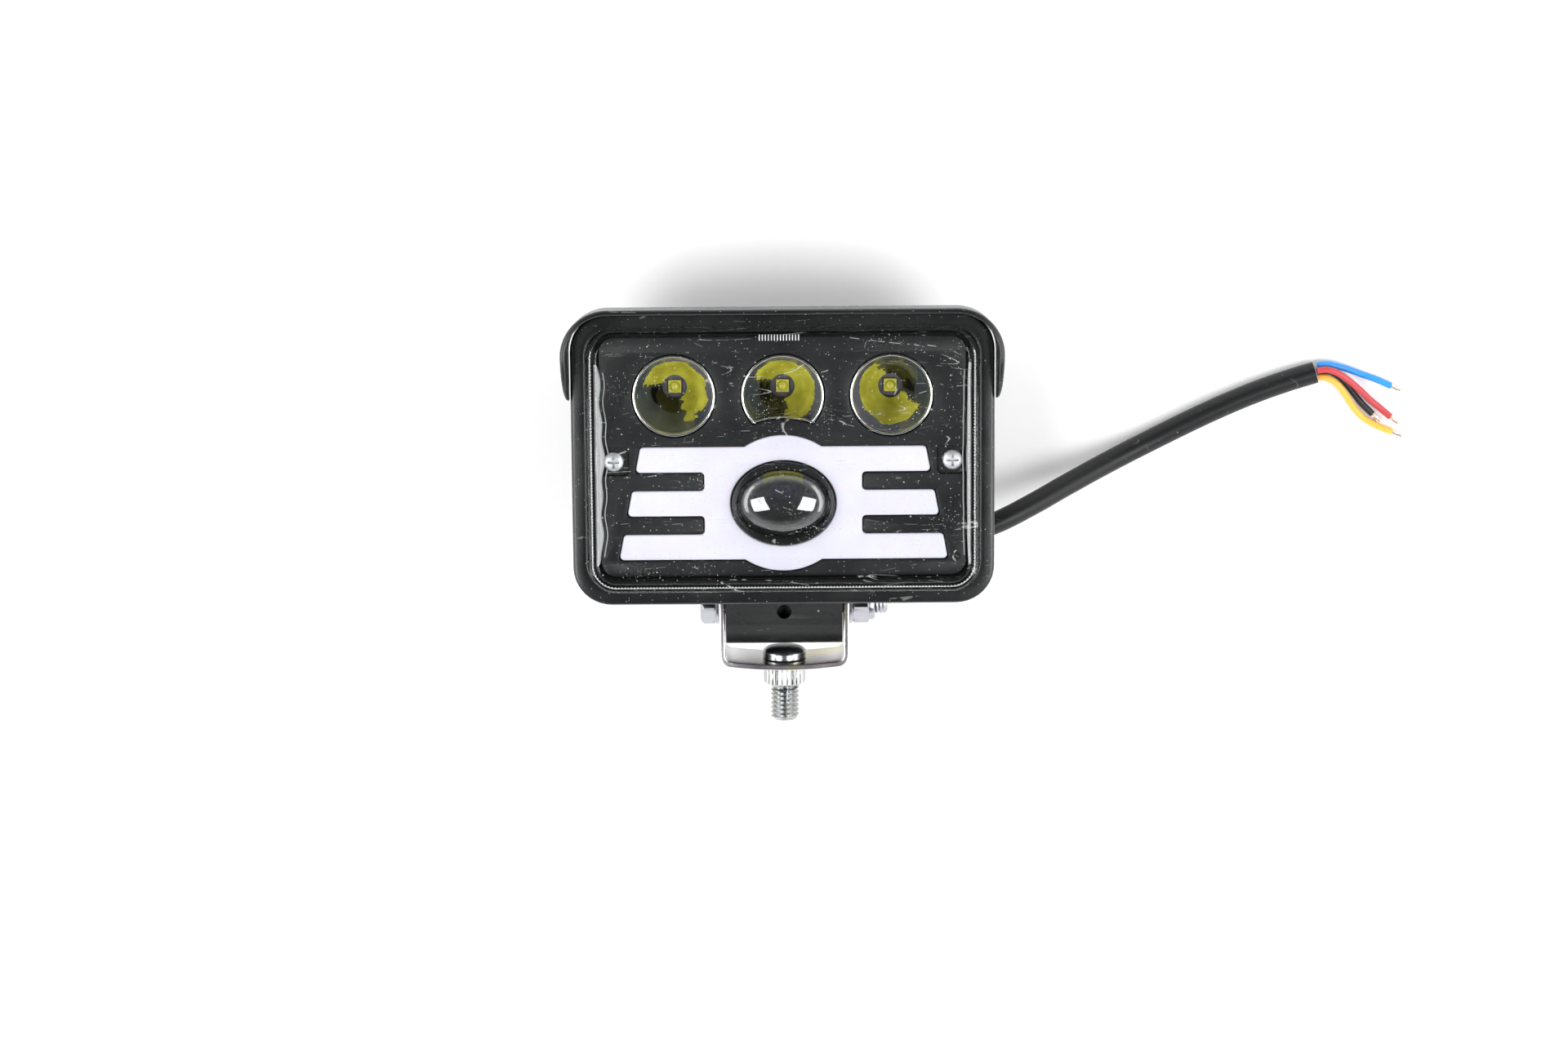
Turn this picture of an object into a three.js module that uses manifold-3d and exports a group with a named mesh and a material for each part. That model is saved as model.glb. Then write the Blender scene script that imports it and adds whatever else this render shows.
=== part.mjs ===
// Rectangular LED fog light with a visor hood, a U bracket on an M8 stud and a short pigtail cable.
// Units are millimetres. The lamp lies on its finned back: +Z is out through the lens, +Y is up
// towards the visor when the lamp is mounted, and the origin is the middle of the flat back pad.

import * as THREE from 'three';
import { mergeVertices } from 'three/addons/utils/BufferGeometryUtils.js';
import Module from 'manifold-3d';

const wasm = await Module();
wasm.setup();

// ---------------------------------------------------------------- driving dimensions

const GAP = 0.3;                    // clearance between neighbouring pieces
const THIN_GAP = 0.15;              // clearance between stacked washers, heads and nuts

const FIN_DEPTH = 11;               // cooling fins on the back, from z = 0
const FIN_PITCH = 6;
const FIN_REACH = 42;               // outermost fins
const FLOOR_Z = 14;                 // inside floor of the housing
const FLANGE_Z = [34, 38];          // housing flange that the bezel sits on
const BEZEL_Z = [38.3, 44];
const LENS_TOP = 49;
const LENS_WALL = 1.8;
const HOOD_ROOT = 42;
const HOOD_TIP = 53;
const HOOD_TAIL_Y = 16.4;           // where the hood runs out on the sides
const HOOD_FULL_Y = 31;             // where it reaches its full height
const MASK_Z = [38.2, 40];          // plate of the inner mask

const BEZEL = { w: 113, h: 79.4, r: 10.3 };
const PLATEAU = { w: 104, h: 70.7, r: 7.2 };
const LENS_FLANGE = { w: 108.6, h: 75.2, r: 15 };
const MASK = { w: 98, h: 65.4, r: 4 };
const CORNER_SCREW = { x: 51.6, y: 34.9 };

const CUP_X = [-29.1, 0, 29.1];
const CUP_Y = 16.65;
const CUP_RIM = 11.1;
const CUP_HOLE = 3.3;
const CUP_DEPTH = 14;
const CUP_WALL = 0.7;
const LED_Z = 24.6;
const PEDESTAL_TOP = 21.6;          // raised floor under the LED board

const GUIDE_Y = -12.75;             // centre of the running-light disc and of the projector
const DISC_R = 18.6;
const DISC_LIP_R = 22.85;
const BAR_PITCH = 11.97;
const BAR_H = 7;
const SLOT_END = 21.2;
const RING = { a: 13.85, b: 11.4 }; // half axes of the projector's oval ring
const GLASS = { a: 12.3, b: 9.1 };

const MASK_SCREW = { x: 45.4, y: -1.1 };
const SCREW_POCKET = { size: 8.4, r: 2, z: 39, shift: 0.2 };

const PIVOT = { y: -44.8, z: 20 };
const LUG_R = 10.9;
const LUG_HALF = 15.9;
const CROWN_HOLE = { r: 2, depth: 5 };
const FAR = 30;                     // long enough for a drill to pass right through
const STRIP = { w: 18, t: 1.5, inner: 16.2, base: -59.4, bow: 0.8, bend: 2.4 };
const WASHER = { r: 5.6, t: 0.8 };
const PIVOT_R = 3;                  // M6 bolt
const HEX_FLATS = 10;
const STUD_R = 4;                   // M8 stud
const STUD_PITCH = 1.25;
const STUD_TIP = -77.4;
const KNURL = { teeth: 24, root: 5.4, crest: 5.7, depth: 5.2 };

const CABLE_R = 3;
const WIRE_R = 0.9;
const CORE_R = 0.6;
const STRIPPED = 2.9;               // bare length of each conductor
const GLAND = { x: 50.2, y: -25.35, z: 18, yaw: 12, length: 5.2 };

// ---------------------------------------------------------------- solid helpers

function toSolid(geometry) {
  const bare = geometry.index ? geometry.clone() : geometry;
  for (const key of Object.keys(bare.attributes)) {
    if (key !== 'position') bare.deleteAttribute(key);
  }
  const merged = mergeVertices(bare, 1e-4);
  return new wasm.Manifold(new wasm.Mesh({
    numProp: 3,
    vertProperties: new Float32Array(merged.attributes.position.array),
    triVerts: new Uint32Array(merged.index.array),
  }));
}

function toGeometry(solid) {
  const mesh = solid.getMesh();
  const geometry = new THREE.BufferGeometry();
  geometry.setAttribute('position', new THREE.BufferAttribute(mesh.vertProperties, 3));
  geometry.setIndex(new THREE.BufferAttribute(mesh.triVerts, 1));
  return geometry;
}

const join = (solids) => solids.reduce((a, b) => a.add(b));
const cut = (solid, tools) => tools.reduce((a, b) => a.subtract(b), solid);

// ---------------------------------------------------------------- outlines

function roundedRect(w, h, r, cx = 0, cy = 0) {
  const x = w / 2 - r;
  const y = h / 2 - r;
  const shape = new THREE.Shape();
  shape.absarc(cx + x, cy + y, r, 0, Math.PI / 2);
  shape.absarc(cx - x, cy + y, r, Math.PI / 2, Math.PI);
  shape.absarc(cx - x, cy - y, r, Math.PI, Math.PI * 1.5);
  shape.absarc(cx + x, cy - y, r, Math.PI * 1.5, Math.PI * 2);
  return shape;
}

function oval(a, b, cy) {
  const shape = new THREE.Shape();
  shape.absellipse(0, cy, a, b, 0, Math.PI * 2);
  return shape;
}

function polygon(points) {
  return new THREE.Shape(points.map(([x, y]) => new THREE.Vector2(x, y)));
}

// The outer ends of the running-light bars lie on one slanted line.
const barEnd = (y) => 38.3 + 0.192 * (2.6 - y);

function barOutline(index, grow) {
  const middle = GUIDE_Y + BAR_PITCH * (1 - index);
  const top = middle + BAR_H / 2 + grow;
  const bottom = middle - BAR_H / 2 - grow;
  return polygon([
    [-barEnd(bottom) - grow, bottom],
    [barEnd(bottom) + grow, bottom],
    [barEnd(top) + grow, top],
    [-barEnd(top) - grow, top],
  ]);
}

// ---------------------------------------------------------------- solids from outlines

function slab(shape, z0, z1, segments = 3) {
  const geometry = new THREE.ExtrudeGeometry(shape, {
    depth: z1 - z0, bevelEnabled: false, curveSegments: segments,
  });
  return toSolid(geometry.translate(0, 0, z0));
}

const box = (x0, x1, y0, y1, z0, z1) => toSolid(
  new THREE.BoxGeometry(x1 - x0, y1 - y0, z1 - z0)
    .translate((x0 + x1) / 2, (y0 + y1) / 2, (z0 + z1) / 2),
);

// A round bar between two stations along an axis through the given point.
function bar(axis, radius, from, to, at, sides = 24) {
  const geometry = new THREE.CylinderGeometry(radius, radius, to - from, sides);
  geometry.translate(0, (from + to) / 2, 0);
  if (axis === 'x') geometry.rotateZ(-Math.PI / 2);
  if (axis === 'z') geometry.rotateX(Math.PI / 2);
  return toSolid(geometry.translate(...at));
}

// A turned piece: profile points are radius and height along the axis.
function turned(profile, sides, axis, at, stretch = [1, 1]) {
  const geometry = new THREE.LatheGeometry(profile.map(([r, h]) => new THREE.Vector2(r, h)), sides);
  if (axis === 'x') geometry.rotateZ(-Math.PI / 2);
  if (axis === 'z') geometry.rotateX(Math.PI / 2);
  geometry.scale(stretch[0], stretch[1], 1);
  return toSolid(geometry.translate(...at));
}

// Joins closed rings of equal point count into one skin and closes both ends with a fan.
function loft(rings) {
  const count = rings[0].length;
  const points = rings.flat();
  const faces = [];
  for (let k = 0; k < rings.length - 1; k += 1) {
    for (let i = 0; i < count; i += 1) {
      const j = (i + 1) % count;
      const a = k * count;
      const b = a + count;
      faces.push(a + i, a + j, b + j, a + i, b + j, b + i);
    }
  }
  const last = (rings.length - 1) * count;
  for (let i = 1; i < count - 1; i += 1) {
    faces.push(0, i + 1, i, last, last + i, last + i + 1);
  }
  const geometry = new THREE.BufferGeometry();
  geometry.setAttribute('position', new THREE.Float32BufferAttribute(points.flat(), 3));
  geometry.setIndex(faces);
  return toSolid(geometry);
}

function ringAt(w, h, r, z) {
  const points = roundedRect(w, h, r).getPoints(3);
  const open = points[0].distanceTo(points[points.length - 1]) < 1e-6 ? points.slice(0, -1) : points;
  return open.map((p) => [p.x, p.y, z]);
}

// ---------------------------------------------------------------- housing and front

function rearHousing() {
  const body = loft([ringAt(96, 61, 8, FIN_DEPTH), ringAt(104, 69, 9, FLANGE_Z[0] + 0.5)]);
  const flange = slab(roundedRect(112.6, 79, 9.8), ...FLANGE_Z);
  const cavity = loft([ringAt(91, 56, 5, FLOOR_Z), ringAt(100.6, 67.6, 5, FLANGE_Z[1] + 0.5)]);
  const lug = join([
    bar('x', LUG_R, -LUG_HALF, LUG_HALF, [0, PIVOT.y, PIVOT.z], 36),
    box(-LUG_HALF, LUG_HALF, PIVOT.y, -29.5, PIVOT.z - LUG_R, PIVOT.z + LUG_R),
  ]);
  const crown = PIVOT.z + LUG_R;
  const shell = cut(join([body, flange, lug]), [
    cavity,
    bar('x', PIVOT_R + GAP, -FAR, FAR, [0, PIVOT.y, PIVOT.z]),
    bar('z', CROWN_HOLE.r, crown - CROWN_HOLE.depth, crown + 1, [0, PIVOT.y, 0], 24),
  ]);
  const pedestal = box(-39, 39, CUP_Y - 10.5, CUP_Y + 8.5, FLOOR_Z - 1, PEDESTAL_TOP);
  const posts = maskScrewPoints().map((at) => bar('z', 3.1, FLOOR_Z - 1, 37.9, at, 20));
  const postHoles = maskScrewPoints().map((at) => bar('z', 1.55, 29, 40, at, 16));
  const cornerHoles = cornerPoints().map(([x, y]) => bar('z', 1.4, 30, 40, [x, y, 0], 16));
  return cut(join([shell, finBlock(), pedestal, ...posts]), [...cornerHoles, ...postHoles, glandHole()]);
}

const maskScrewPoints = () => [-1, 1].map((side) => [side * MASK_SCREW.x, MASK_SCREW.y, 0]);

function finBlock() {
  const root = FIN_DEPTH + 0.5;
  const envelope = loft([ringAt(86, 52, 7, 0), ringAt(93, 58, 8, root)]);
  const fins = [];
  for (let x = -FIN_REACH; x <= FIN_REACH; x += FIN_PITCH) {
    fins.push(box(x - 1, x + 1, -30, 30, 0, root));
  }
  const pad = box(-12, 12, -9, 9, 0, root);
  return join([...fins, pad]).intersect(envelope);
}

const cornerPoints = () => [[1, 1], [-1, 1], [-1, -1], [1, -1]]
  .map(([sx, sy]) => [sx * CORNER_SCREW.x, sy * CORNER_SCREW.y]);

function frontBezel() {
  const blank = slab(roundedRect(BEZEL.w, BEZEL.h, BEZEL.r), ...BEZEL_Z, 4);
  const recess = roundedRect(LENS_FLANGE.w + 2 * GAP, LENS_FLANGE.h + 2 * GAP, LENS_FLANGE.r + GAP);
  const opening = roundedRect(PLATEAU.w + 2 * GAP, PLATEAU.h + 2 * GAP, PLATEAU.r + GAP);
  const holes = cornerPoints().map(([x, y]) => bar('z', 1.3, 38, 42.6, [x, y, 0], 16));
  return cut(blank, [slab(recess, 38, 41.6), slab(opening, 38, 45), ...holes]);
}

function frontLens() {
  const plateau = roundedRect(PLATEAU.w, PLATEAU.h, PLATEAU.r);
  const inside = roundedRect(PLATEAU.w - 2 * LENS_WALL, PLATEAU.h - 2 * LENS_WALL, PLATEAU.r - LENS_WALL);
  const flange = slab(roundedRect(LENS_FLANGE.w, LENS_FLANGE.h, LENS_FLANGE.r), 39.5, 41.4);
  return cut(join([flange, slab(plateau, 39.5, LENS_TOP)]), [slab(inside, 39, LENS_TOP - LENS_WALL)]);
}

function lensSeal() {
  const outer = slab(roundedRect(107, 73.6, 13), 38.15, 39.35);
  return outer.subtract(slab(roundedRect(101.4, 68, 6), 38, 40));
}

// The hood is a flared strip outside the bezel: full height over the top and round the corners,
// running out in a rounded tail on each side.
function visorHood() {
  const rings = hoodPath().map(({ x, y, nx, ny }) => {
    const short = Math.max(0, (HOOD_FULL_Y - y) / (HOOD_FULL_Y - HOOD_TAIL_Y));
    const rise = Math.sqrt(Math.max(0.012, 1 - short ** 2));
    const tip = HOOD_ROOT + 1.2 + (HOOD_TIP - HOOD_ROOT - 1.2) * rise;
    const flare = 0.5 * rise;
    const root = 0.25 + 0.85 * rise;
    const lip = flare + 0.25 + 1.25 * rise;
    const at = (offset, z) => [x + nx * offset, y + ny * offset, z];
    return [at(0, HOOD_ROOT), at(root, HOOD_ROOT), at(lip, tip - 0.3), at(lip - 0.2, tip), at(flare, tip)];
  });
  return loft(rings.reverse());
}

// The hood's root line, with its outward direction at each point: right side, corners and left side.
function hoodPath() {
  const inner = { x: BEZEL.w / 2 + GAP, y: BEZEL.h / 2 + GAP, r: BEZEL.r + GAP };
  const sideTop = inner.y - inner.r;
  const side = [0, 0.05, 0.14, 0.28, 0.5, 0.75].map((t) => (
    { x: inner.x, y: HOOD_TAIL_Y + (sideTop - HOOD_TAIL_Y) * t, nx: 1, ny: 0 }
  ));
  const corner = [];
  const steps = 10;
  for (let i = 0; i <= steps; i += 1) {
    const angle = (i / steps) * (Math.PI / 2);
    const nx = Math.cos(angle);
    const ny = Math.sin(angle);
    corner.push({ x: inner.x - inner.r + inner.r * nx, y: sideTop + inner.r * ny, nx, ny });
  }
  const right = [...side, ...corner];
  const left = right.map((p) => ({ x: -p.x, y: p.y, nx: -p.nx, ny: p.ny })).reverse();
  return [...right, ...left];
}

// ---------------------------------------------------------------- optics

function guideSolid(grow, z0, z1) {
  const bars = [0, 1, 2].map((index) => slab(barOutline(index, grow), z0, z1));
  const span = BAR_PITCH + BAR_H / 2 + grow;
  const middle = box(-SLOT_END - grow, SLOT_END + grow, GUIDE_Y - span, GUIDE_Y + span, z0, z1);
  const disc = bar('z', DISC_R + grow, z0, z1, [0, GUIDE_Y, 0], 48);
  return join([middle, disc, ...bars]);
}

function lightGuide() {
  return guideSolid(0, 36.6, 39.9).subtract(slab(oval(RING.a + GAP, RING.b + GAP, GUIDE_Y), 36, 41, 12));
}

function faceMask() {
  const plate = slab(roundedRect(MASK.w, MASK.h, MASK.r), ...MASK_Z);
  const skirt = slab(roundedRect(MASK.w, MASK.h, MASK.r), 35.8, 38.4)
    .subtract(slab(roundedRect(MASK.w - 3, MASK.h - 3, MASK.r - 1.5), 30, 39));
  const cups = CUP_X.map((x) => bar('z', CUP_RIM + GAP, 30, 41, [x, CUP_Y, 0], 28));
  const lip = bar('z', DISC_LIP_R, 30, 42, [0, GUIDE_Y, 0], 48);
  cups[1] = cups[1].subtract(lip);
  const { size, r, z, shift } = SCREW_POCKET;
  const pockets = [-1, 1].map((side) => (
    slab(roundedRect(size, size, r, side * (MASK_SCREW.x - shift), MASK_SCREW.y), z, 41)
  ));
  const screwHoles = maskScrewPoints().map((at) => bar('z', 1.5, 30, 41, at, 16));
  const postClearances = maskScrewPoints().map((at) => bar('z', 3.5, 30, 38.05, at, 20));
  const guideOpening = guideSolid(GAP, 30, 41);
  const openings = [...cups, ...pockets, ...screwHoles, ...postClearances, guideOpening];
  return cut(join([plate, skirt]), openings);
}

// A thin open bowl: up the outside, down the inside.
function bowlProfile(inside) {
  const outside = inside.map(([r, h]) => [r + CUP_WALL, h]);
  return [...outside, ...inside.slice().reverse(), outside[0]];
}

function reflectorCup(index) {
  const steps = 5;
  const inside = [];
  for (let i = 0; i <= steps; i += 1) {
    const t = i / steps;
    inside.push([CUP_HOLE + (CUP_RIM - CUP_WALL - CUP_HOLE) * Math.sqrt(t), CUP_DEPTH * t]);
  }
  const bowl = turned(bowlProfile(inside), 28, 'z', [CUP_X[index], CUP_Y, MASK_Z[1] - 0.1 - CUP_DEPTH]);
  if (index !== 1) return bowl;
  return bowl.subtract(bar('z', DISC_LIP_R + GAP, 20, 42, [0, GUIDE_Y, 0], 48));
}

function ledEmitter(index) {
  const x = CUP_X[index];
  const base = box(x - 1.75, x + 1.75, CUP_Y - 1.75, CUP_Y + 1.75, LED_Z, LED_Z + 0.7);
  const profile = [[0, 0], [1.4, 0], [1.25, 0.5], [0.75, 0.85], [0, 1]];
  const dome = turned(profile, 16, 'z', [x, CUP_Y, LED_Z + 0.6]);
  return join([base, dome]);
}

function projectorLens() {
  const steps = 5;
  const profile = [[0, 0], [1, 0], [1, 1.5]];
  for (let i = 1; i <= steps; i += 1) {
    const angle = (i / steps) * (Math.PI / 2);
    profile.push([i === steps ? 0 : Math.cos(angle), 1.5 + 4.9 * Math.sin(angle)]);
  }
  return turned(profile, 32, 'z', [0, GUIDE_Y, 37.4], [GLASS.a, GLASS.b]);
}

function ovalTube(outer, inner, z0, z1) {
  return slab(oval(outer.a, outer.b, GUIDE_Y), z0, z1, 12)
    .subtract(slab(oval(inner.a, inner.b, GUIDE_Y), z0 - 1, z1 + 1, 12));
}

const shrink = (size, by) => ({ a: size.a - by, b: size.b - by });
const grown = (size, by) => shrink(size, -by);

function projectorReflector() {
  const inside = [[2.6, 0], [5.2, 1.6], [7, 3.6], [8, 6], [8.4, 8]];
  return turned(bowlProfile(inside), 24, 'z', [0, GUIDE_Y, 26.2], [1.18, 0.86]);
}

// ---------------------------------------------------------------- fasteners, bracket and stud

function panScrew(x, y, seat, direction, headR, shankR, length) {
  const shank = [[0, -length], [shankR, -length], [shankR, 0]];
  const head = [[headR, 0], [headR, 0.7], [headR * 0.8, 1.3], [headR * 0.45, 1.6], [0, 1.7]];
  const shaped = turned([...shank, ...head], 14, 'z', [0, 0, 0]);
  const reach = headR * 0.5;
  const slotHalf = 0.3;
  const cross = [
    box(-reach, reach, -slotHalf, slotHalf, 0.9, 3),
    box(-slotHalf, slotHalf, -reach, reach, 0.9, 3),
  ];
  const screw = toGeometry(cut(shaped, cross));
  if (direction < 0) screw.rotateX(Math.PI);
  return toSolid(screw.translate(x, y, seat));
}

function mountingBracket() {
  const { w, t, inner, base, bow, bend } = STRIP;
  const outerX = inner + t;
  const outerBase = base - t;
  const straight = inner - bend;    // half length of the base between its bends
  const top = PIVOT.y + w / 2;
  const outline = new THREE.Shape();
  outline.moveTo(-outerX, top);
  outline.lineTo(-outerX, base + bend);
  outline.quadraticCurveTo(-outerX, outerBase, -straight, outerBase);
  outline.quadraticCurveTo(0, outerBase - 2 * bow, straight, outerBase);
  outline.quadraticCurveTo(outerX, outerBase, outerX, base + bend);
  outline.lineTo(outerX, top);
  outline.lineTo(inner, top);
  outline.lineTo(inner, base + bend);
  outline.quadraticCurveTo(inner, base, straight, base);
  outline.quadraticCurveTo(0, base - 2 * bow, -straight, base);
  outline.quadraticCurveTo(-inner, base, -inner, base + bend);
  outline.lineTo(-inner, top);
  const strip = slab(outline, PIVOT.z - w / 2, PIVOT.z + w / 2, 5);
  const roundEnds = join([
    bar('x', w / 2, -FAR, FAR, [0, PIVOT.y, PIVOT.z], 40),
    box(-FAR, FAR, base - 6, PIVOT.y, PIVOT.z - w / 2, PIVOT.z + w / 2),
  ]);
  return cut(strip.intersect(roundEnds), [
    bar('x', PIVOT_R + GAP, -FAR, FAR, [0, PIVOT.y, PIVOT.z]),
    bar('y', STUD_R + GAP, base - 6, base + 3, [0, 0, PIVOT.z]),
  ]);
}

function washer(side) {
  const face = STRIP.inner + STRIP.t + THIN_GAP;
  const start = side > 0 ? face : -face - WASHER.t;
  const disc = bar('x', WASHER.r, start, start + WASHER.t, [0, PIVOT.y, PIVOT.z]);
  return disc.subtract(bar('x', PIVOT_R + GAP, start - 1, start + 2, [0, PIVOT.y, PIVOT.z]));
}

const WASHER_OUT = STRIP.inner + STRIP.t + 2 * THIN_GAP + WASHER.t;

function hexagon(flats, from, to) {
  const prism = bar('x', flats / Math.sqrt(3), from, to, [0, 0, 0], 6);
  return prism.translate([0, PIVOT.y, PIVOT.z]);
}

function pivotBolt() {
  const head = hexagon(HEX_FLATS, -WASHER_OUT - 4, -WASHER_OUT);
  const chamfer = bar('x', 5.7, -WASHER_OUT - 4, -WASHER_OUT, [0, PIVOT.y, PIVOT.z]);
  const shank = bar('x', PIVOT_R, -WASHER_OUT - 1, 28.2, [0, PIVOT.y, PIVOT.z], 24);
  return join([head.intersect(chamfer), shank]);
}

function pivotNut() {
  const hex = hexagon(HEX_FLATS, WASHER_OUT, WASHER_OUT + 4.6);
  const profile = [[0, 0], [4.7, 0], [4.7, 0.9], [4.1, 1.5], [0, 1.5]];
  const collar = turned(profile, 28, 'x', [WASHER_OUT + 4.5, PIVOT.y, PIVOT.z]);
  return join([hex, collar]).subtract(bar('x', PIVOT_R + GAP, 10, 40, [0, PIVOT.y, PIVOT.z]));
}

const BASE_IN = STRIP.base - STRIP.bow;
const BASE_OUT = BASE_IN - STRIP.t;

function studBolt() {
  const seat = BASE_IN + THIN_GAP + 0.1;
  const profile = [[0, STUD_TIP], [3.1, STUD_TIP], [STUD_R - 0.1, STUD_TIP + 0.9]];
  for (let y = STUD_TIP + 1.5; y < -68; y += STUD_PITCH) {
    profile.push([3.45, y], [STUD_R, y + STUD_PITCH / 2]);
  }
  profile.push([3.7, -67], [3.7, seat], [6, seat], [6, seat + 1.9]);
  profile.push([5.2, seat + 2.6], [3, seat + 3.2], [0, seat + 3.4]);
  return turned(profile, 18, 'y', [0, 0, PIVOT.z]);
}

function studNut() {
  const points = [];
  const steps = KNURL.teeth * 2;
  for (let i = 0; i < steps; i += 1) {
    const angle = (i / steps) * Math.PI * 2;
    const radius = i % 2 ? KNURL.root : KNURL.crest;
    points.push([radius * Math.cos(angle), radius * Math.sin(angle)]);
  }
  const options = { depth: KNURL.depth, bevelEnabled: false };
  const geometry = new THREE.ExtrudeGeometry(polygon(points), options);
  geometry.rotateX(Math.PI / 2).translate(0, BASE_OUT - THIN_GAP - 0.1, PIVOT.z);
  return toSolid(geometry).subtract(bar('y', STUD_R + GAP, -90, -50, [0, 0, PIVOT.z], 28));
}

// ---------------------------------------------------------------- cable and wires

function glandAxis(geometry) {
  return geometry.rotateZ(THREE.MathUtils.degToRad(GLAND.yaw)).translate(GLAND.x, GLAND.y, GLAND.z);
}

function cableGland() {
  const bore = CABLE_R + GAP;
  const collar = [[6, 0], [6, 1.4], [4.9, 1.9]];
  const profile = [[bore, 0], ...collar, [4.3, GLAND.length], [bore, GLAND.length], [bore, 0]];
  const lathe = new THREE.LatheGeometry(profile.map(([r, h]) => new THREE.Vector2(r, h)), 32);
  return toSolid(glandAxis(lathe.rotateZ(-Math.PI / 2)));
}

function glandHole() {
  const drill = new THREE.CylinderGeometry(CABLE_R + GAP, CABLE_R + GAP, 16, 24).rotateZ(-Math.PI / 2);
  const seat = new THREE.CylinderGeometry(6.6, 6.6, 8, 32).rotateZ(-Math.PI / 2).translate(4 - 0.3, 0, 0);
  return toSolid(glandAxis(drill)).add(toSolid(glandAxis(seat)));
}

const CABLE_ROUTE = [
  [51.2, -25.15, 18], [54.4, -24.45, 18], [57.6, -23.45, 17.75], [61.6, -21.8, 17], [66, -19.8, 15.6],
  [71, -17.5, 13.6], [76, -15.1, 11.4], [81, -12.8, 9.2], [86, -10.5, 7.2], [91, -8.2, 5.5], [96, -5.9, 4.2],
  [101.5, -3.3, 3.35], [107.6, -0.3, 3.05], [115, 3.3, 3.05], [122.6, 6.75, 3.05], [130, 9.8, 3.05],
  [137.8, 12.6, 3.05], [146.4, 15.25, 3.05],
];

const WIRE_ROUTES = {
  blue: [[147, 17.05, 2.6], [149.6, 17.35, 2.5], [152.6, 16.75, 2.1], [156, 15.6, 1.5], [159.4, 14.25, 1],
    [163.4, 12.8, 0.95], [167.6, 10.9, 0.95]],
  red: [[146.75, 15.95, 4.5], [149.6, 16.2, 4.5], [152.8, 15.05, 4.2], [156.4, 12.35, 3.5], [159.4, 9.6, 2.4],
    [161.9, 7.1, 1.4], [164.6, 4.8, 0.95], [167.6, 2.25, 0.95]],
  black: [[147.1, 14.85, 1.6], [150, 15.2, 1.6], [152.7, 13.95, 1.35], [155.3, 11.4, 1], [157.6, 8.6, 0.95],
    [160, 5.7, 0.95], [162.6, 3.1, 0.95]],
  yellow: [[147.25, 13.95, 3.5], [149.6, 13.75, 3.7], [152.6, 11.9, 3.6], [155.2, 8.4, 2.5], [157.4, 5, 1.3],
    [159.8, 2.3, 0.95], [163.6, -0.1, 0.95], [168.1, -2, 0.95]],
};

function curveOf(points) {
  return new THREE.CatmullRomCurve3(points.map((p) => new THREE.Vector3(...p)), false, 'centripetal');
}

function tube(points, radius, sides, steps) {
  const section = new THREE.Shape();
  for (let i = 0; i < sides; i += 1) {
    const angle = (i / sides) * Math.PI * 2;
    const x = radius * Math.cos(angle);
    const y = radius * Math.sin(angle);
    if (i === 0) section.moveTo(x, y);
    else section.lineTo(x, y);
  }
  section.closePath();
  return new THREE.ExtrudeGeometry(section, { steps, bevelEnabled: false, extrudePath: curveOf(points) });
}

// The stripped end goes on straight from the end of its insulation.
function coreRoute(points) {
  const end = new THREE.Vector3(...points[points.length - 1]);
  const along = curveOf(points).getTangent(1);
  return [GAP, (GAP + STRIPPED) / 2, STRIPPED].map((reach) => {
    const point = end.clone().addScaledVector(along, reach);
    return [point.x, point.y, end.z];
  });
}

// ---------------------------------------------------------------- assembly

const finish = {
  blackPaint: [0x1c1d1e, 0.45, 0.1],
  blackPlastic: [0x222426, 0.35, 0],
  charcoal: [0x2c2e30, 0.4, 0],
  clear: [0xe8eef0, 0.05, 0],
  silicone: [0xb8bcb8, 0.5, 0],
  milky: [0xf5f3fd, 0.45, 0],
  chrome: [0xd8d8d4, 0.08, 1],
  phosphor: [0xb6ad2c, 0.5, 0],
  board: [0xd9dcd8, 0.5, 0.2],
  greenBoard: [0x1e5a34, 0.5, 0],
  pad: [0x8aa0b8, 0.8, 0],
  glass: [0xdfe8f0, 0.03, 0],
  zinc: [0xc9ccd0, 0.25, 1],
  copper: [0xb87333, 0.3, 1],
  rubber: [0x141414, 0.7, 0],
  sheath: [0x18191a, 0.5, 0],
  blue: [0x1f5fb4, 0.4, 0],
  red: [0xb02a30, 0.4, 0],
  black: [0x1b1c1e, 0.4, 0],
  yellow: [0xf0c419, 0.4, 0],
};

const group = new THREE.Group();

function place(name, shape, look) {
  const [color, roughness, metalness] = finish[look];
  const material = new THREE.MeshStandardMaterial({ color, roughness, metalness });
  const geometry = shape.isBufferGeometry ? shape : toGeometry(shape);
  const mesh = new THREE.Mesh(geometry, material);
  mesh.name = name;
  group.add(mesh);
}

place('rear_housing', rearHousing(), 'blackPaint');
place('front_bezel', frontBezel(), 'blackPlastic');
place('visor_hood', visorHood(), 'blackPlastic');
place('front_lens', frontLens(), 'clear');
place('lens_seal', lensSeal(), 'silicone');
place('face_mask', faceMask(), 'charcoal');
place('light_guide', lightGuide(), 'milky');

['left', 'middle', 'right'].forEach((side, index) => {
  place(`reflector_cup_${side}`, reflectorCup(index), 'chrome');
  place(`led_emitter_${side}`, ledEmitter(index), 'phosphor');
});
place('led_board', box(-38, 38, CUP_Y - 9.5, CUP_Y + 7.5, 22.9, 24.4), 'board');
place('thermal_pad', box(-37.5, 37.5, CUP_Y - 9, CUP_Y + 7, 21.8, 22.7), 'pad');

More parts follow.
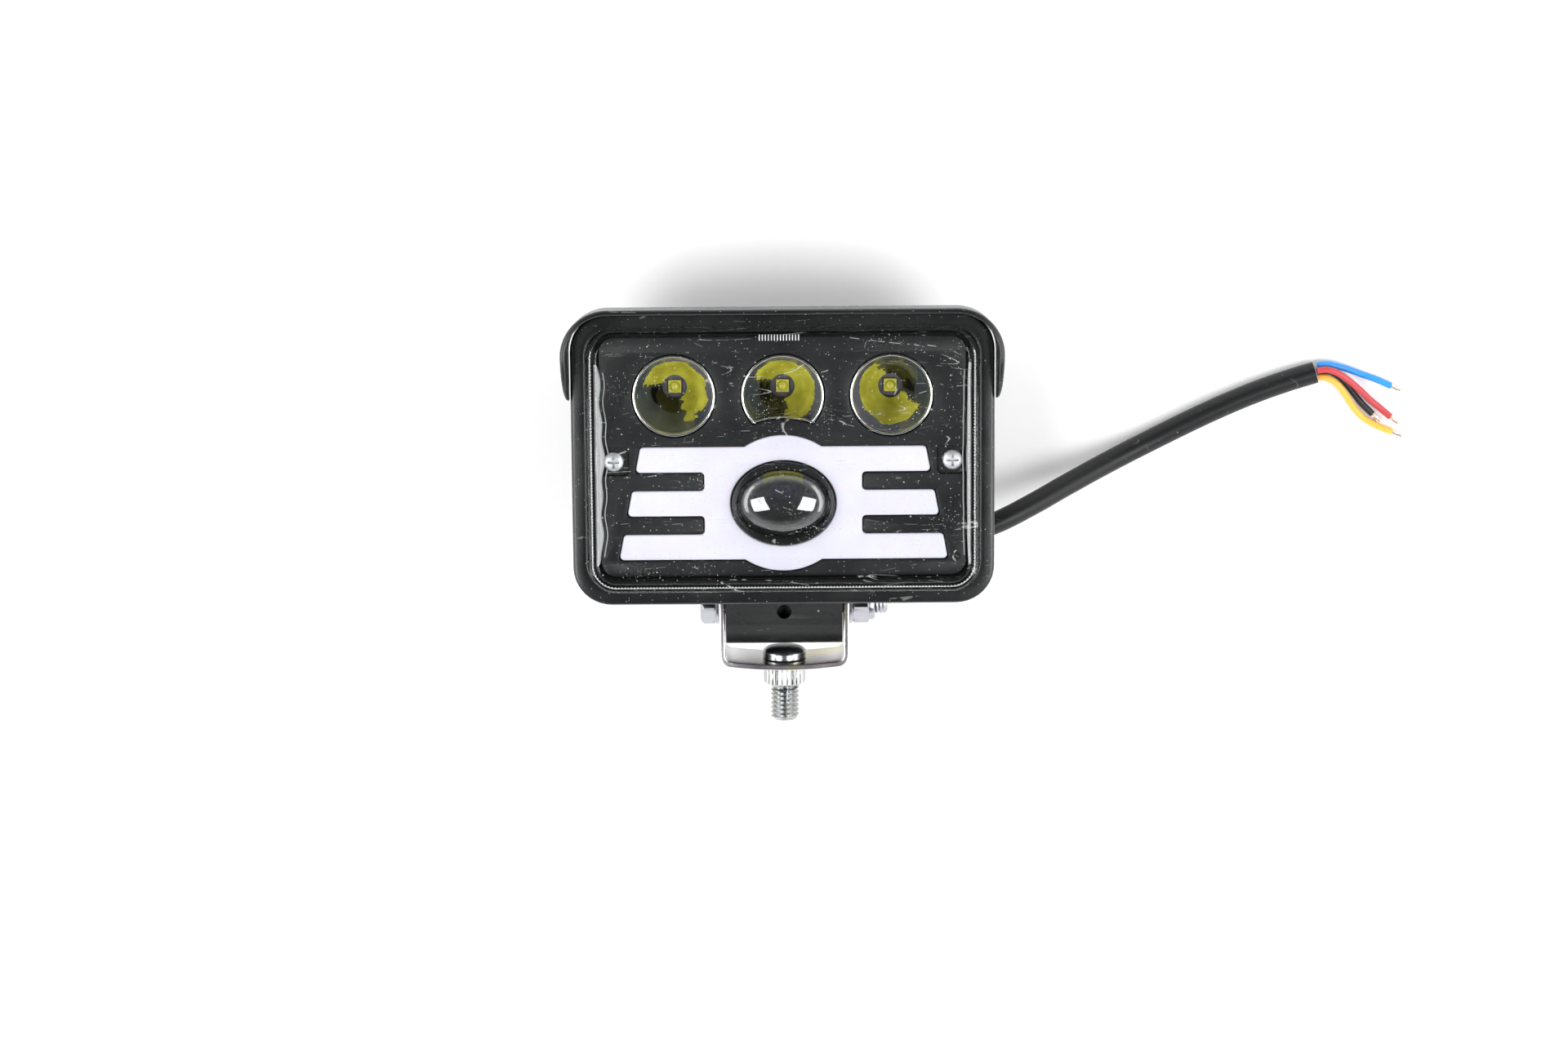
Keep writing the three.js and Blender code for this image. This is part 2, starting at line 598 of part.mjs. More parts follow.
place('lens_ring', ovalTube(RING, grown(GLASS, GAP), 36.2, 41.2), 'blackPlastic');
place('projector_lens', projectorLens(), 'glass');
place('projector_holder', ovalTube(shrink(RING, 0.4), shrink(GLASS, 0.5), 26, 35.9), 'blackPlastic');
place('projector_reflector', projectorReflector(), 'chrome');
place('projector_led', box(-4, 4, GUIDE_Y - 4, GUIDE_Y + 4, 24.2, 25.8), 'phosphor');
place('projector_heat_block', box(-13, 13, -27.5, 3.5, FLOOR_Z + GAP, 23.9), 'board');

const guideBoard = slab(roundedRect(84, 36, 3, 0, GUIDE_Y), 34.2, 35.8)
  .subtract(slab(oval(RING.a + GAP, RING.b + GAP, GUIDE_Y), 34, 36, 12));
place('guide_board', guideBoard, 'greenBoard');

place('driver_board', box(-42, -17, -26.5, -5, 18, 19.6), 'greenBoard');
place('inductor', bar('z', 4.4, 19.9, 27.5, [-23.5, -19, 0], 24), 'rubber');
place('capacitor', bar('z', 3.1, 19.9, 29.5, [-34, -20, 0], 24), 'board');
place('driver_chip', box(-36, -31, -13.5, -8.5, 19.9, 21.5), 'black');

[-1, 1].forEach((side) => {
  const name = side < 0 ? 'mask_screw_left' : 'mask_screw_right';
  place(name, panScrew(side * MASK_SCREW.x, MASK_SCREW.y, 39.15, 1, 2.75, 1.2, 8), 'zinc');
});
cornerPoints().forEach(([x, y], index) => {
  place(`housing_screw_${index + 1}`, panScrew(x, y, 33.8, -1, 2.2, 1, 8.4), 'zinc');
});

place('mounting_bracket', mountingBracket(), 'zinc');
place('pivot_bolt', pivotBolt(), 'zinc');
place('pivot_washer_left', washer(-1), 'zinc');
place('pivot_washer_right', washer(1), 'zinc');
place('pivot_nut', pivotNut(), 'zinc');
place('stud_bolt', studBolt(), 'zinc');
place('stud_nut', studNut(), 'zinc');

place('cable_gland', cableGland(), 'rubber');
place('cable_sheath', tube(CABLE_ROUTE, CABLE_R, 10, 24), 'sheath');
for (const [color, route] of Object.entries(WIRE_ROUTES)) {
  place(`wire_${color}`, tube(route, WIRE_R, 8, 10), color);
  place(`conductor_${color}`, tube(coreRoute(route), CORE_R, 8, 1), 'copper');
}

export default group;
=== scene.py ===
# Rectangular LED fog light with a visor hood, a U bracket on a threaded stud and a short pigtail cable.
# The frame is in metres. Lengths below are written in millimetres and turned into metres by MM.

import math

import bmesh
import bpy
from mathutils import Matrix, Vector


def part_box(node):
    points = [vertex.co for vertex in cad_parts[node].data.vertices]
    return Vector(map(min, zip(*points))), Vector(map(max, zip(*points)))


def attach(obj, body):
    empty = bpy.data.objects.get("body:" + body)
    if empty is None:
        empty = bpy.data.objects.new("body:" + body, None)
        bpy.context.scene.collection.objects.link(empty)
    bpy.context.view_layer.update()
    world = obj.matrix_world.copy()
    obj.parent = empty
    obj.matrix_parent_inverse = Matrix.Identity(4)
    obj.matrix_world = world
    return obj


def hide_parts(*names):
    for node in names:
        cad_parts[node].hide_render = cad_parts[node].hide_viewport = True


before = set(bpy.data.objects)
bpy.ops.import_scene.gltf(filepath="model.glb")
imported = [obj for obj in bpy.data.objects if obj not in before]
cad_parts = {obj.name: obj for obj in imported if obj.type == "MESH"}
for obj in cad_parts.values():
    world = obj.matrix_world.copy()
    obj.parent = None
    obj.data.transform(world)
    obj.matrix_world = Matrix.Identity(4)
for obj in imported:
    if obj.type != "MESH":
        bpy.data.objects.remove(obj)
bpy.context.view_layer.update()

MM = 0.001
GAP = 0.3


def box_mm(node):
    low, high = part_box(node)
    return [value / MM for value in low], [value / MM for value in high]


BEZEL_LOW, BEZEL_HIGH = box_mm("front_bezel")
LENS_LOW, LENS_HIGH = box_mm("front_lens")
MASK_LOW, MASK_HIGH = box_mm("face_mask")
HOOD_LOW, HOOD_HIGH = box_mm("visor_hood")
RING_LOW, RING_HIGH = box_mm("lens_ring")
DOME_LOW, DOME_HIGH = box_mm("projector_lens")
STUD_LOW, STUD_HIGH = box_mm("stud_bolt")
NUT_LOW, NUT_HIGH = box_mm("stud_nut")
BOLT_LOW, BOLT_HIGH = box_mm("pivot_bolt")
LOCK_LOW, LOCK_HIGH = box_mm("pivot_nut")
STRIP_HIGH = box_mm("mounting_bracket")[1]


def size_of(low, high):
    return high[0] - low[0], high[1] - low[1]


def middle(low, high, axis):
    return (low[axis] + high[axis]) / 2


CUP_X = (-29.1, 0.0, 29.1)
CUP_Y = 16.65
CUP_RIM = 11.1
PIVOT_Y = middle(LOCK_LOW, LOCK_HIGH, 1)
PIVOT_Z = middle(LOCK_LOW, LOCK_HIGH, 2)
GUIDE_Y = middle(RING_LOW, RING_HIGH, 1)


# ---------------------------------------------------------------- camera


def make_camera():
    tilt = math.radians(12)
    roll = math.radians(0.42)
    distance = 1250 * MM
    forward = Vector((0, -math.sin(tilt), -math.cos(tilt)))
    level_up = Vector((0, math.cos(tilt), -math.sin(tilt)))
    level_right = Vector((1, 0, 0))
    right = level_right * math.cos(roll) - level_up * math.sin(roll)
    up = level_right * math.sin(roll) + level_up * math.cos(roll)
    face = Vector((0, 0, BEZEL_HIGH[2] * MM))
    aim = face + right * (0.26 * MM) - up * (16.8 * MM)
    data = bpy.data.cameras.new("camera")
    data.sensor_width = 36
    data.lens = 107.5
    camera = bpy.data.objects.new("camera", data)
    bpy.context.collection.objects.link(camera)
    turn = Matrix((right, up, -forward)).transposed().to_4x4()
    camera.matrix_world = Matrix.Translation(aim - forward * distance) @ turn
    bpy.context.scene.camera = camera


make_camera()


# ---------------------------------------------------------------- materials


class Look:
    """A procedural material: a Principled shader and the texture nodes that feed it."""

    def __init__(self, name):
        self.material = bpy.data.materials.new(name)
        self.material.use_nodes = True
        self.tree = self.material.node_tree
        self.shader = self.tree.nodes["Principled BSDF"]
        self.output = self.tree.nodes["Material Output"]
        self.place = self.add("ShaderNodeTexCoord").outputs["Object"]

    def add(self, kind, inputs=None, **settings):
        node = self.tree.nodes.new(kind)
        for name, value in settings.items():
            setattr(node, name, value)
        for name, value in (inputs or {}).items():
            self.feed(node.inputs[name], value)
        return node

    def feed(self, socket, value):
        if isinstance(value, bpy.types.NodeSocket):
            self.tree.links.new(value, socket)
        else:
            socket.default_value = value

    def set(self, **values):
        for name, value in values.items():
            title = name.replace("_", " ").title().replace("Ior", "IOR")
            self.feed(self.shader.inputs[title], value)

    def math(self, operation, a, b=0.0, clamp=False):
        node = self.add("ShaderNodeMath", {0: a, 1: b}, operation=operation, use_clamp=clamp)
        return node.outputs[0]

    def times(self, a, b, clamp=False):
        return self.math("MULTIPLY", a, b, clamp)

    def plus(self, a, b, clamp=False):
        return self.math("ADD", a, b, clamp)

    def larger(self, a, b):
        return self.math("MAXIMUM", a, b)

    def stretched(self, scale):
        return self.add("ShaderNodeMapping", {"Vector": self.place, "Scale": scale}).outputs[0]

    def noise(self, scale, detail=3.0, rough=0.55, at=None, bend=0.0):
        inputs = {"Vector": at or self.place, "Scale": scale, "Detail": detail, "Roughness": rough}
        inputs["Distortion"] = bend
        return self.add("ShaderNodeTexNoise", inputs).outputs[0]

    def band(self, value, low, high, to_low=0.0, to_high=1.0):
        inputs = {"Value": value, "From Min": low, "From Max": high, "To Min": to_low, "To Max": to_high}
        return self.add("ShaderNodeMapRange", inputs).outputs[0]

    def tint(self, amount, first, second):
        node = self.add("ShaderNodeMix", data_type="RGBA")
        self.feed(node.inputs[0], amount)
        self.feed(node.inputs[6], (*first, 1) if isinstance(first, tuple) else first)
        self.feed(node.inputs[7], (*second, 1) if isinstance(second, tuple) else second)
        return node.outputs[2]

    def specks(self, scale, size, share):
        """Small round dots in a share of the cells of a Voronoi pattern."""
        cells = self.add("ShaderNodeTexVoronoi", {"Vector": self.place, "Scale": scale})
        near = self.band(cells.outputs["Distance"], size, size * 0.5)
        level = self.add("ShaderNodeSeparateColor", {0: cells.outputs["Color"]}).outputs[0]
        chosen = self.math("GREATER_THAN", level, 1 - share)
        return self.times(near, chosen)

    def scratches(self, scale, width, share):
        """Hairlines where a field drawn out along a slant crosses its middle, kept only in patches."""
        slant = {"Vector": self.place, "Rotation": (0.3, 0.5, 0.6), "Scale": (0.14, 1, 1)}
        field = self.noise(scale, 1.0, 0.3, self.add("ShaderNodeMapping", slant).outputs[0], 0.6)
        offset = self.math("ABSOLUTE", self.math("SUBTRACT", field, 0.5))
        line = self.band(offset, width, 0.0)
        patch = self.noise(scale * 2.3, 2.0)
        return self.times(line, self.band(patch, 1 - share, 1.04 - share))

    def bump(self, height, depth, strength=1.0, under=None):
        inputs = {"Height": height, "Distance": depth * MM, "Strength": strength}
        if under is not None:
            inputs["Normal"] = under
        return self.add("ShaderNodeBump", inputs).outputs[0]

    def coat(self, amount, under):
        """Lay the Principled shader over another one and send the result to the output."""
        surface = self.mix_shader(amount, under, self.shader.outputs[0])
        self.tree.links.new(surface, self.output.inputs[0])

    def mix_shader(self, amount, first, second):
        node = self.add("ShaderNodeMixShader", {0: amount})
        self.tree.links.new(first, node.inputs[1])
        self.tree.links.new(second, node.inputs[2])
        return node.outputs[0]


def moulded(name, color, rough, dust, shine, grain=0.02):
    """Black or charcoal moulded plastic with fine grain, handling marks and dust specks."""
    look = Look(name)
    mottle = look.noise(90, 4)
    base = look.tint(look.band(mottle, 0.35, 0.7), color, tuple(c * 1.35 for c in color))
    fine = look.specks(1300, 0.18, 0.16 * dust)
    coarse = look.specks(480, 0.12, 0.16 * dust)
    marks = look.scratches(120, 0.004, 0.46)
    dirt = look.larger(look.larger(fine, coarse), look.times(marks, 0.35))
    look.set(base_color=look.tint(dirt, base, (0.3, 0.3, 0.29)))
    smudge = look.band(look.noise(60, 5), 0.3, 0.75, rough * 0.75, rough * 1.3)
    look.set(roughness=look.plus(smudge, look.times(dirt, 0.4), True))
    look.set(normal=look.bump(look.noise(2600, 2), grain), specular_ior_level=shine)
    return look.material


def painted_casting():
    look = Look("painted_casting")
    grain = look.noise(1500, 3, 0.6)
    wear = look.specks(420, 0.14, 0.10)
    marks = look.scratches(90, 0.004, 0.42)
    paint = look.tint(look.band(look.noise(70, 4), 0.3, 0.7), (0.006, 0.0065, 0.007), (0.012, 0.0125, 0.013))
    chipped = look.larger(wear, look.times(marks, 0.3))
    look.set(base_color=look.tint(chipped, paint, (0.33, 0.33, 0.32)))
    look.set(roughness=look.band(grain, 0.3, 0.7, 0.36, 0.56))
    look.set(metallic=look.times(chipped, 0.7))
    look.set(normal=look.bump(grain, 0.05), specular_ior_level=0.3)
    return look.material


def clear_plastic():
    """Thin clear moulding: light passes straight through, with gloss, dust and hairline scratches on it."""
    look = Look("clear_lens")
    ripple = look.bump(look.noise(55, 2), 0.02)
    facing = look.add("ShaderNodeLayerWeight", {"Blend": 0.5, "Normal": ripple}).outputs["Facing"]
    edge = look.math("POWER", facing, 4.0)
    gloss_share = look.band(edge, 0, 1, 0.038, 0.9)
    clear = look.add("ShaderNodeBsdfTransparent", {"Color": (0.975, 0.98, 0.98, 1)}).outputs[0]
    gloss = look.add("ShaderNodeBsdfGlossy", {"Roughness": 0.03, "Normal": ripple}).outputs[0]
    glass = look.mix_shader(gloss_share, clear, gloss)
    specks = look.larger(look.specks(560, 0.12, 0.07), look.specks(1300, 0.18, 0.09))
    clusters = look.times(look.specks(1900, 0.24, 0.3), look.band(look.noise(70, 3), 0.57, 0.67))
    lines = look.times(look.scratches(130, 0.005, 0.46), 0.5)
    dirt = look.larger(look.larger(specks, clusters), lines)
    look.set(base_color=(0.62, 0.62, 0.6, 1), roughness=0.5)
    shown = look.times(dirt, 0.8, True)
    haze = look.band(look.noise(28, 4), 0.45, 0.8, 0.0, 0.004)
    look.coat(look.larger(shown, haze), glass)
    return look.material


def frosted_edge():
    look = Look("lens_edge")
    look.set(base_color=(0.8, 0.82, 0.82, 1), roughness=0.12)
    look.set(normal=look.bump(look.noise(700, 3), 0.06))
    clear = look.add("ShaderNodeBsdfTransparent").outputs[0]
    share = look.band(look.noise(240, 3), 0.3, 0.7, 0.45, 0.9)
    look.coat(share, clear)
    return look.material


def milky_guide():
    """Milky light guide with faint upright ribbing and a cool tint."""
    look = Look("milky")
    ribs = look.noise(520, 2, 0.5, look.stretched((1, 0.02, 0.02)))
    cloud = look.noise(60, 3)
    look.set(base_color=look.tint(look.band(cloud, 0.3, 0.75), (0.66, 0.64, 0.735), (0.72, 0.70, 0.785)))
    look.set(roughness=look.band(ribs, 0.3, 0.7, 0.32, 0.45))
    look.set(subsurface_weight=0.25, subsurface_scale=1.5 * MM)
    look.set(normal=look.bump(ribs, 0.05, 0.6))
    return look.material


def cup_painted_reflections(name, centre, toward, half_width):
    """Mirror bowl coloured with painted reflections: the phosphor's yellow over a ragged sector round the
    chip, a painted dark reflection of the room elsewhere and a black painted patch near the chip; only the
    rim is real chrome.
    """
    look = Look(name)
    ripple = look.noise(150, 2, 0.5)
    ragged = look.math("SUBTRACT", look.noise(330, 3, 0.6), 0.5)
    shift = (-centre[0] * MM, -centre[1] * MM, 0)
    local = look.add("ShaderNodeMapping", {"Vector": look.place, "Location": shift}).outputs[0]
    parts = look.add("ShaderNodeSeparateXYZ", {0: local})
    x = look.times(parts.outputs["X"], 1 / MM)
    y = look.times(parts.outputs["Y"], 1 / MM)
    radius = look.math("SQRT", look.plus(look.math("POWER", x, 2.0), look.math("POWER", y, 2.0)))
    angle = math.radians(toward)
    across = look.times(x, math.cos(angle))
    upward = look.times(y, math.sin(angle))
    reach = look.plus(across, upward)
    turn = look.math("DIVIDE", reach, radius)
    limit = math.cos(math.radians(half_width))
    # Mask of the painted phosphor reflection: a ragged sector round the chip, out to a ragged radius.
    sector = look.band(look.plus(turn, ragged), limit - 0.03, limit + 0.03)
    ring = look.band(look.plus(radius, look.times(ragged, 3.6)), 8.8, 8.6)
    painted_reflection_mask = look.times(sector, ring)
    # Painted dark reflection: a black patch near the chip on one side.
    painted_dark_patch = look.times(look.band(turn, -0.5, -0.62), look.band(radius, 6.6, 6.2))
    # Painted reflection of the phosphor's yellow.
    painted_phosphor_reflection = look.tint(look.band(ripple, 0.35, 0.65), (0.44, 0.41, 0.035), (0.70, 0.66, 0.085))
    # Painted reflection of the dark room, lighter towards one side.
    room = look.tint(look.band(turn, -0.2, 0.7), (0.05, 0.06, 0.066), (0.13, 0.13, 0.15))
    color = look.tint(painted_reflection_mask, look.tint(painted_dark_patch, room, (0.002, 0.002, 0.002)), painted_phosphor_reflection)
    rim = look.band(radius, CUP_RIM - 0.95, CUP_RIM - 0.8)
    look.set(base_color=look.tint(rim, color, (0.85, 0.85, 0.84)), metallic=rim)
    look.set(roughness=look.band(ripple, 0.3, 0.7, 0.06, 0.14))
    creased = look.bump(ripple, 0.25)
    look.set(normal=look.bump(painted_reflection_mask, 0.12, 1.0, creased))
    return look.material


def chrome():
    look = Look("chrome")
    ripple = look.noise(260, 2, 0.5)
    look.set(base_color=(0.86, 0.86, 0.85, 1), metallic=1.0)
    look.set(roughness=look.band(ripple, 0.3, 0.7, 0.05, 0.12), normal=look.bump(ripple, 0.05))
    return look.material


def phosphor():
    look = Look("phosphor")
    grain = look.noise(2500, 2)
    look.set(base_color=look.tint(look.band(grain, 0.3, 0.7), (0.64, 0.60, 0.05), (0.76, 0.71, 0.10)))
    look.set(roughness=look.band(grain, 0.3, 0.7, 0.3, 0.5), coat_weight=0.6, coat_roughness=0.05)
    look.set(normal=look.bump(grain, 0.02))
    return look.material


def board(name, color):
    look = Look(name)
    weave = look.noise(900, 2, 0.5, look.stretched((1, 0.2, 1)))
    look.set(base_color=look.tint(look.band(weave, 0.35, 0.65), color, tuple(c * 1.3 for c in color)))
    look.set(roughness=look.band(weave, 0.3, 0.7, 0.35, 0.5), normal=look.bump(weave, 0.02))
    return look.material


def soft_pad():
    look = Look("thermal_pad")
    grain = look.noise(1200, 3)
    look.set(base_color=look.tint(grain, (0.28, 0.36, 0.44), (0.38, 0.45, 0.52)))
    look.set(roughness=look.band(grain, 0.3, 0.7, 0.7, 0.9), normal=look.bump(grain, 0.08))
    return look.material


def machined(name, color, rough):
    look = Look(name)
    lines = look.noise(1800, 2, 0.5, look.stretched((0.03, 1, 1)))
    look.set(base_color=look.tint(lines, color, tuple(c * 0.8 for c in color)), metallic=1.0)
    look.set(roughness=look.band(lines, 0.3, 0.7, rough, rough * 1.6), normal=look.bump(lines, 0.02))
    return look.material


def projector_glass():
    """Polished lens: light passes straight into the dark holder, under a strong clean gloss."""
    look = Look("optical_glass")
    facing = look.add("ShaderNodeLayerWeight", {"Blend": 0.5}).outputs["Facing"]
    gloss_share = look.band(look.math("POWER", facing, 3.0), 0, 1, 0.17, 0.95)
    smears = look.band(look.noise(160, 3), 0.5, 0.8, 0.0, 0.03)
    clear = look.add("ShaderNodeBsdfTransparent", {"Color": (0.90, 0.91, 0.93, 1)}).outputs[0]
    gloss = look.add("ShaderNodeBsdfGlossy", {"Roughness": smears}).outputs[0]
    glass = look.mix_shader(gloss_share, clear, gloss)
    dust = look.times(look.specks(1300, 0.12, 0.04), 0.6)
    look.set(base_color=(0.6, 0.6, 0.58, 1), roughness=0.5)
    look.coat(dust, glass)
    return look.material


def projector_mirror():
    """Dark mirror behind the projector lens, with a painted reflection of the phosphor's colour as an olive
    strip along its upper edge.
    """
    look = Look("projector_mirror")
    ripple = look.noise(260, 2)
    shift = (0, -GUIDE_Y * MM, 0)
    local = look.add("ShaderNodeMapping", {"Vector": look.place, "Location": shift}).outputs[0]
    parts = look.add("ShaderNodeSeparateXYZ", {0: local})
    across = look.times(look.math("ABSOLUTE", parts.outputs["X"]), 1 / MM)
    up = look.times(parts.outputs["Y"], 1 / MM)
    wavy = look.plus(up, look.times(look.math("POWER", across, 2.0), 0.05))
    # Painted reflection: an olive strip of the phosphor's colour along the mirror's upper edge.
    strip = look.times(look.band(wavy, 4.1, 4.5), look.band(across, 5.6, 5.1))
    rings = look.band(ripple, 0.42, 0.62)
    dark = look.tint(rings, (0.125, 0.125, 0.13), (0.145, 0.145, 0.15))
    look.set(base_color=look.tint(strip, dark, (0.42, 0.38, 0.03)))
    look.set(roughness=look.band(ripple, 0.3, 0.7, 0.36, 0.42), normal=look.bump(ripple, 0.02))
    return look.material


def shaded(color, factors):
    return tuple(c * factor for c, factor in zip(color, factors))


def zinc(name, color, warm, rough_low, rough_high):
    """Bright zinc plate: fine rolled lines, cloudy passivation colour and a few dull spots."""
    look = Look(name)
    cloud = look.noise(85, 3, 0.5)
    hue = look.noise(48, 2, 0.5, None, 0.8)
    silver = look.tint(look.band(cloud, 0.35, 0.65), tuple(c * 0.86 for c in color), color)
    yellow_share = look.band(hue, 0.5, 0.68, 0, warm)
    yellow = look.tint(yellow_share, silver, shaded(color, (1.05, 0.98, 0.60)))
    pink_share = look.band(hue, 0.48, 0.36, 0, warm * 0.7)
    pink = look.tint(pink_share, yellow, shaded(color, (1.04, 0.80, 0.92)))
    dull = look.specks(420, 0.2, 0.1)
    look.set(base_color=look.tint(look.times(dull, 0.5), pink, (0.3, 0.3, 0.3)), metallic=1.0)
    lines = look.noise(1500, 2, 0.5, look.stretched((0.06, 1, 1)))
    rough = look.band(cloud, 0.3, 0.7, rough_low, rough_high)
    look.set(roughness=look.plus(rough, look.times(dull, 0.3)))
    look.set(normal=look.bump(lines, 0.02))
    return look.material


def rubbery(name, color, rough, shine):
    look = Look(name)
    grain = look.noise(1900, 3)
    marks = look.scratches(150, 0.005, 0.44)
    dust = look.specks(700, 0.14, 0.05)
    dirt = look.larger(dust, look.times(marks, 0.3))
    base = look.tint(look.band(look.noise(120, 3), 0.3, 0.7), color, tuple(min(1, c * 1.25) for c in color))
    look.set(base_color=look.tint(look.times(dirt, 0.6), base, (0.4, 0.4, 0.4)))
    look.set(roughness=look.band(grain, 0.3, 0.7, rough * 0.85, rough * 1.15), specular_ior_level=shine)
    look.set(normal=look.bump(grain, 0.02))
    return look.material


def silicone():
    look = Look("silicone")
    cloud = look.noise(220, 3)
    look.set(base_color=look.tint(cloud, (0.36, 0.37, 0.37), (0.50, 0.51, 0.51)))
    look.set(roughness=look.band(cloud, 0.3, 0.7, 0.25, 0.45), subsurface_weight=0.2, subsurface_scale=1 * MM)
    look.set(normal=look.bump(cloud, 0.15))
    return look.material


def tinned():
    look = Look("tinned_copper")
    patches = look.noise(1400, 3)
    look.set(base_color=look.tint(look.band(patches, 0.4, 0.65), (0.72, 0.70, 0.66), (0.66, 0.46, 0.34)))
    look.set(metallic=1.0, roughness=look.band(patches, 0.3, 0.7, 0.22, 0.4), normal=look.bump(patches, 0.03))
    return look.material


LOOKS = {
    "cup_left": cup_painted_reflections("cup_left", (CUP_X[0], CUP_Y), 50, 116),
    "cup_middle": cup_painted_reflections("cup_middle", (CUP_X[1], CUP_Y), 35, 116),
    "cup_right": cup_painted_reflections("cup_right", (CUP_X[2], CUP_Y), 225, 112),
    "painted_casting": painted_casting(),
    "gloss_black": moulded("gloss_black", (0.0055, 0.006, 0.0065), 0.26, 1.0, 0.45),
    "charcoal": moulded("charcoal", (0.0085, 0.009, 0.0098), 0.36, 0.8, 0.3),
    "clear_lens": clear_plastic(),
    "lens_edge": frosted_edge(),
    "silicone": silicone(),
    "milky": milky_guide(),
    "chrome": chrome(),
    "phosphor": phosphor(),
    "aluminium": machined("aluminium", (0.62, 0.62, 0.63), 0.3),
    "led_board": board("led_board", (0.10, 0.095, 0.125)),
    "circuit_board": board("circuit_board", (0.016, 0.09, 0.035)),
    "thermal_pad": soft_pad(),
    "optical_glass": projector_glass(),
    "projector_mirror": projector_mirror(),
    "zinc": zinc("zinc", (0.40, 0.41, 0.44), 0.25, 0.18, 0.30),
    "zinc_strip": zinc("zinc_strip", (0.80, 0.79, 0.81), 0.8, 0.18, 0.28),
    "zinc_screw": zinc("zinc_screw", (0.66, 0.67, 0.69), 0.1, 0.40, 0.55),
    "black_rubber": rubbery("black_rubber", (0.012, 0.012, 0.012), 0.6, 0.3),
    "sheath": rubbery("sheath", (0.005, 0.0054, 0.006), 0.42, 0.3),
    "wire_blue": rubbery("wire_blue", (0.02, 0.21, 0.62), 0.36, 0.4),
    "wire_red": rubbery("wire_red", (0.42, 0.040, 0.045), 0.36, 0.4),
    "wire_black": rubbery("wire_black", (0.008, 0.008, 0.010), 0.36, 0.4),
    "wire_yellow": rubbery("wire_yellow", (0.82, 0.37, 0.05), 0.36, 0.4),
    "tinned_copper": tinned(),
}


def install(obj, look, slot, body, *nodes):
    obj.data.materials.clear()
    obj.data.materials.append(LOOKS[look])
    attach(obj, body)
    if nodes:
        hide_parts(*nodes)
    return obj


# ---------------------------------------------------------------- mesh helpers


def new_object(name, data):
    obj = bpy.data.objects.new(name, data)
    bpy.context.collection.objects.link(obj)
    return obj


def smooth(mesh, angle=35):
    for face in mesh.polygons:
        face.use_smooth = True
    mesh.set_sharp_from_angle(angle=math.radians(angle))


def weld(mesh, distance, merge_flat=False):
    """Joins doubled points, merges flat neighbouring faces if asked, and turns the faces outwards."""
    work = bmesh.new()
    work.from_mesh(mesh)
    bmesh.ops.remove_doubles(work, verts=work.verts, dist=distance * MM)
    if merge_flat:
        bmesh.ops.dissolve_limit(work, angle_limit=math.radians(1), verts=work.verts, edges=work.edges)
    bmesh.ops.recalc_face_normals(work, faces=work.faces)
    work.to_mesh(mesh)
    work.free()


def soften(obj, width, limit=30):
    """Bevels every edge sharper than the limit in degrees."""
    edge = obj.modifiers.new("edge", "BEVEL")
    edge.width = width * MM
    edge.segments = 2
    edge.limit_method = "ANGLE"
    edge.angle_limit = math.radians(limit)
    return edge


def mesh_object(name, points, faces, angle=35):
    mesh = bpy.data.meshes.new(name)
    mesh.from_pydata([[value * MM for value in point] for point in points], [], faces)
    weld(mesh, 0.0005)
    smooth(mesh, angle)
    return new_object(name, mesh)


def skin(name, rings, closed=False, angle=35):
    """Joins rings of equal point count, and closes the two ends unless the rings run round a loop."""
    count = len(rings[0])
    faces = []
    for k in range(len(rings) if closed else len(rings) - 1):
        a = k * count
        b = (k + 1) % len(rings) * count
        for i in range(count):
            j = (i + 1) % count
            faces.append((a + i, a + j, b + j, b + i))
    if not closed:
        faces.append(tuple(reversed(range(count))))
        faces.append(tuple(range((len(rings) - 1) * count, len(rings) * count)))
    return mesh_object(name, [point for ring in rings for point in ring], faces, angle)


def block(name, low, high):
    corners = [(x, y, z) for z in (low[2], high[2]) for x, y in (
        (low[0], low[1]), (high[0], low[1]), (high[0], high[1]), (low[0], high[1]))]
    return skin(name, [corners[:4], corners[4:]])


def arc(cx, cy, radius, start, end, steps):
    points = []
    for i in range(steps + 1):
        angle = math.radians(start + (end - start) * i / steps)
        points.append((cx + radius * math.cos(angle), cy + radius * math.sin(angle)))
    return points


def rounded(width, height, radius, steps=10, cx=0.0, cy=0.0):
    x = width / 2 - radius
    y = height / 2 - radius
    points = []
    for sx, sy, start in ((1, 1, 0), (-1, 1, 90), (-1, -1, 180), (1, -1, 270)):
        points += arc(cx + sx * x, cy + sy * y, radius, start, start + 90, steps)
    return points


def oval(a, b, cy=0.0, count=96):
    turn = 2 * math.pi / count
    return [(a * math.cos(i * turn), cy + b * math.sin(i * turn)) for i in range(count)]


def at_height(outline, z):
    return [(x, y, z) for x, y in outline]


def fillet(inset, z, radius, steps=5):
    """Insets and heights of a rounded top edge that starts on the wall and ends on the top face."""
    profile = []
    for i in range(steps + 1):
        angle = math.pi / 2 * i / steps
        profile.append((inset + radius * (1 - math.cos(angle)), z - radius + radius * math.sin(angle)))
    return profile


def polar(name, stations, axis, at, count=96, closed=False, angle=35):
    """A turned form whose radius may also depend on the angle: stations are (height, radius function)."""
    rings = []
    for height, radius in stations:
        ring = []
        for i in range(count):
            around = 2 * math.pi * i / count
            r = radius(around) if callable(radius) else radius
            u = r * math.cos(around)
            v = r * math.sin(around)
            local = {"x": (height, u, v), "y": (v, height, u), "z": (u, v, height)}[axis]
            ring.append(tuple(a + b for a, b in zip(local, at)))
        rings.append(ring)
    return skin(name, rings, closed, angle)


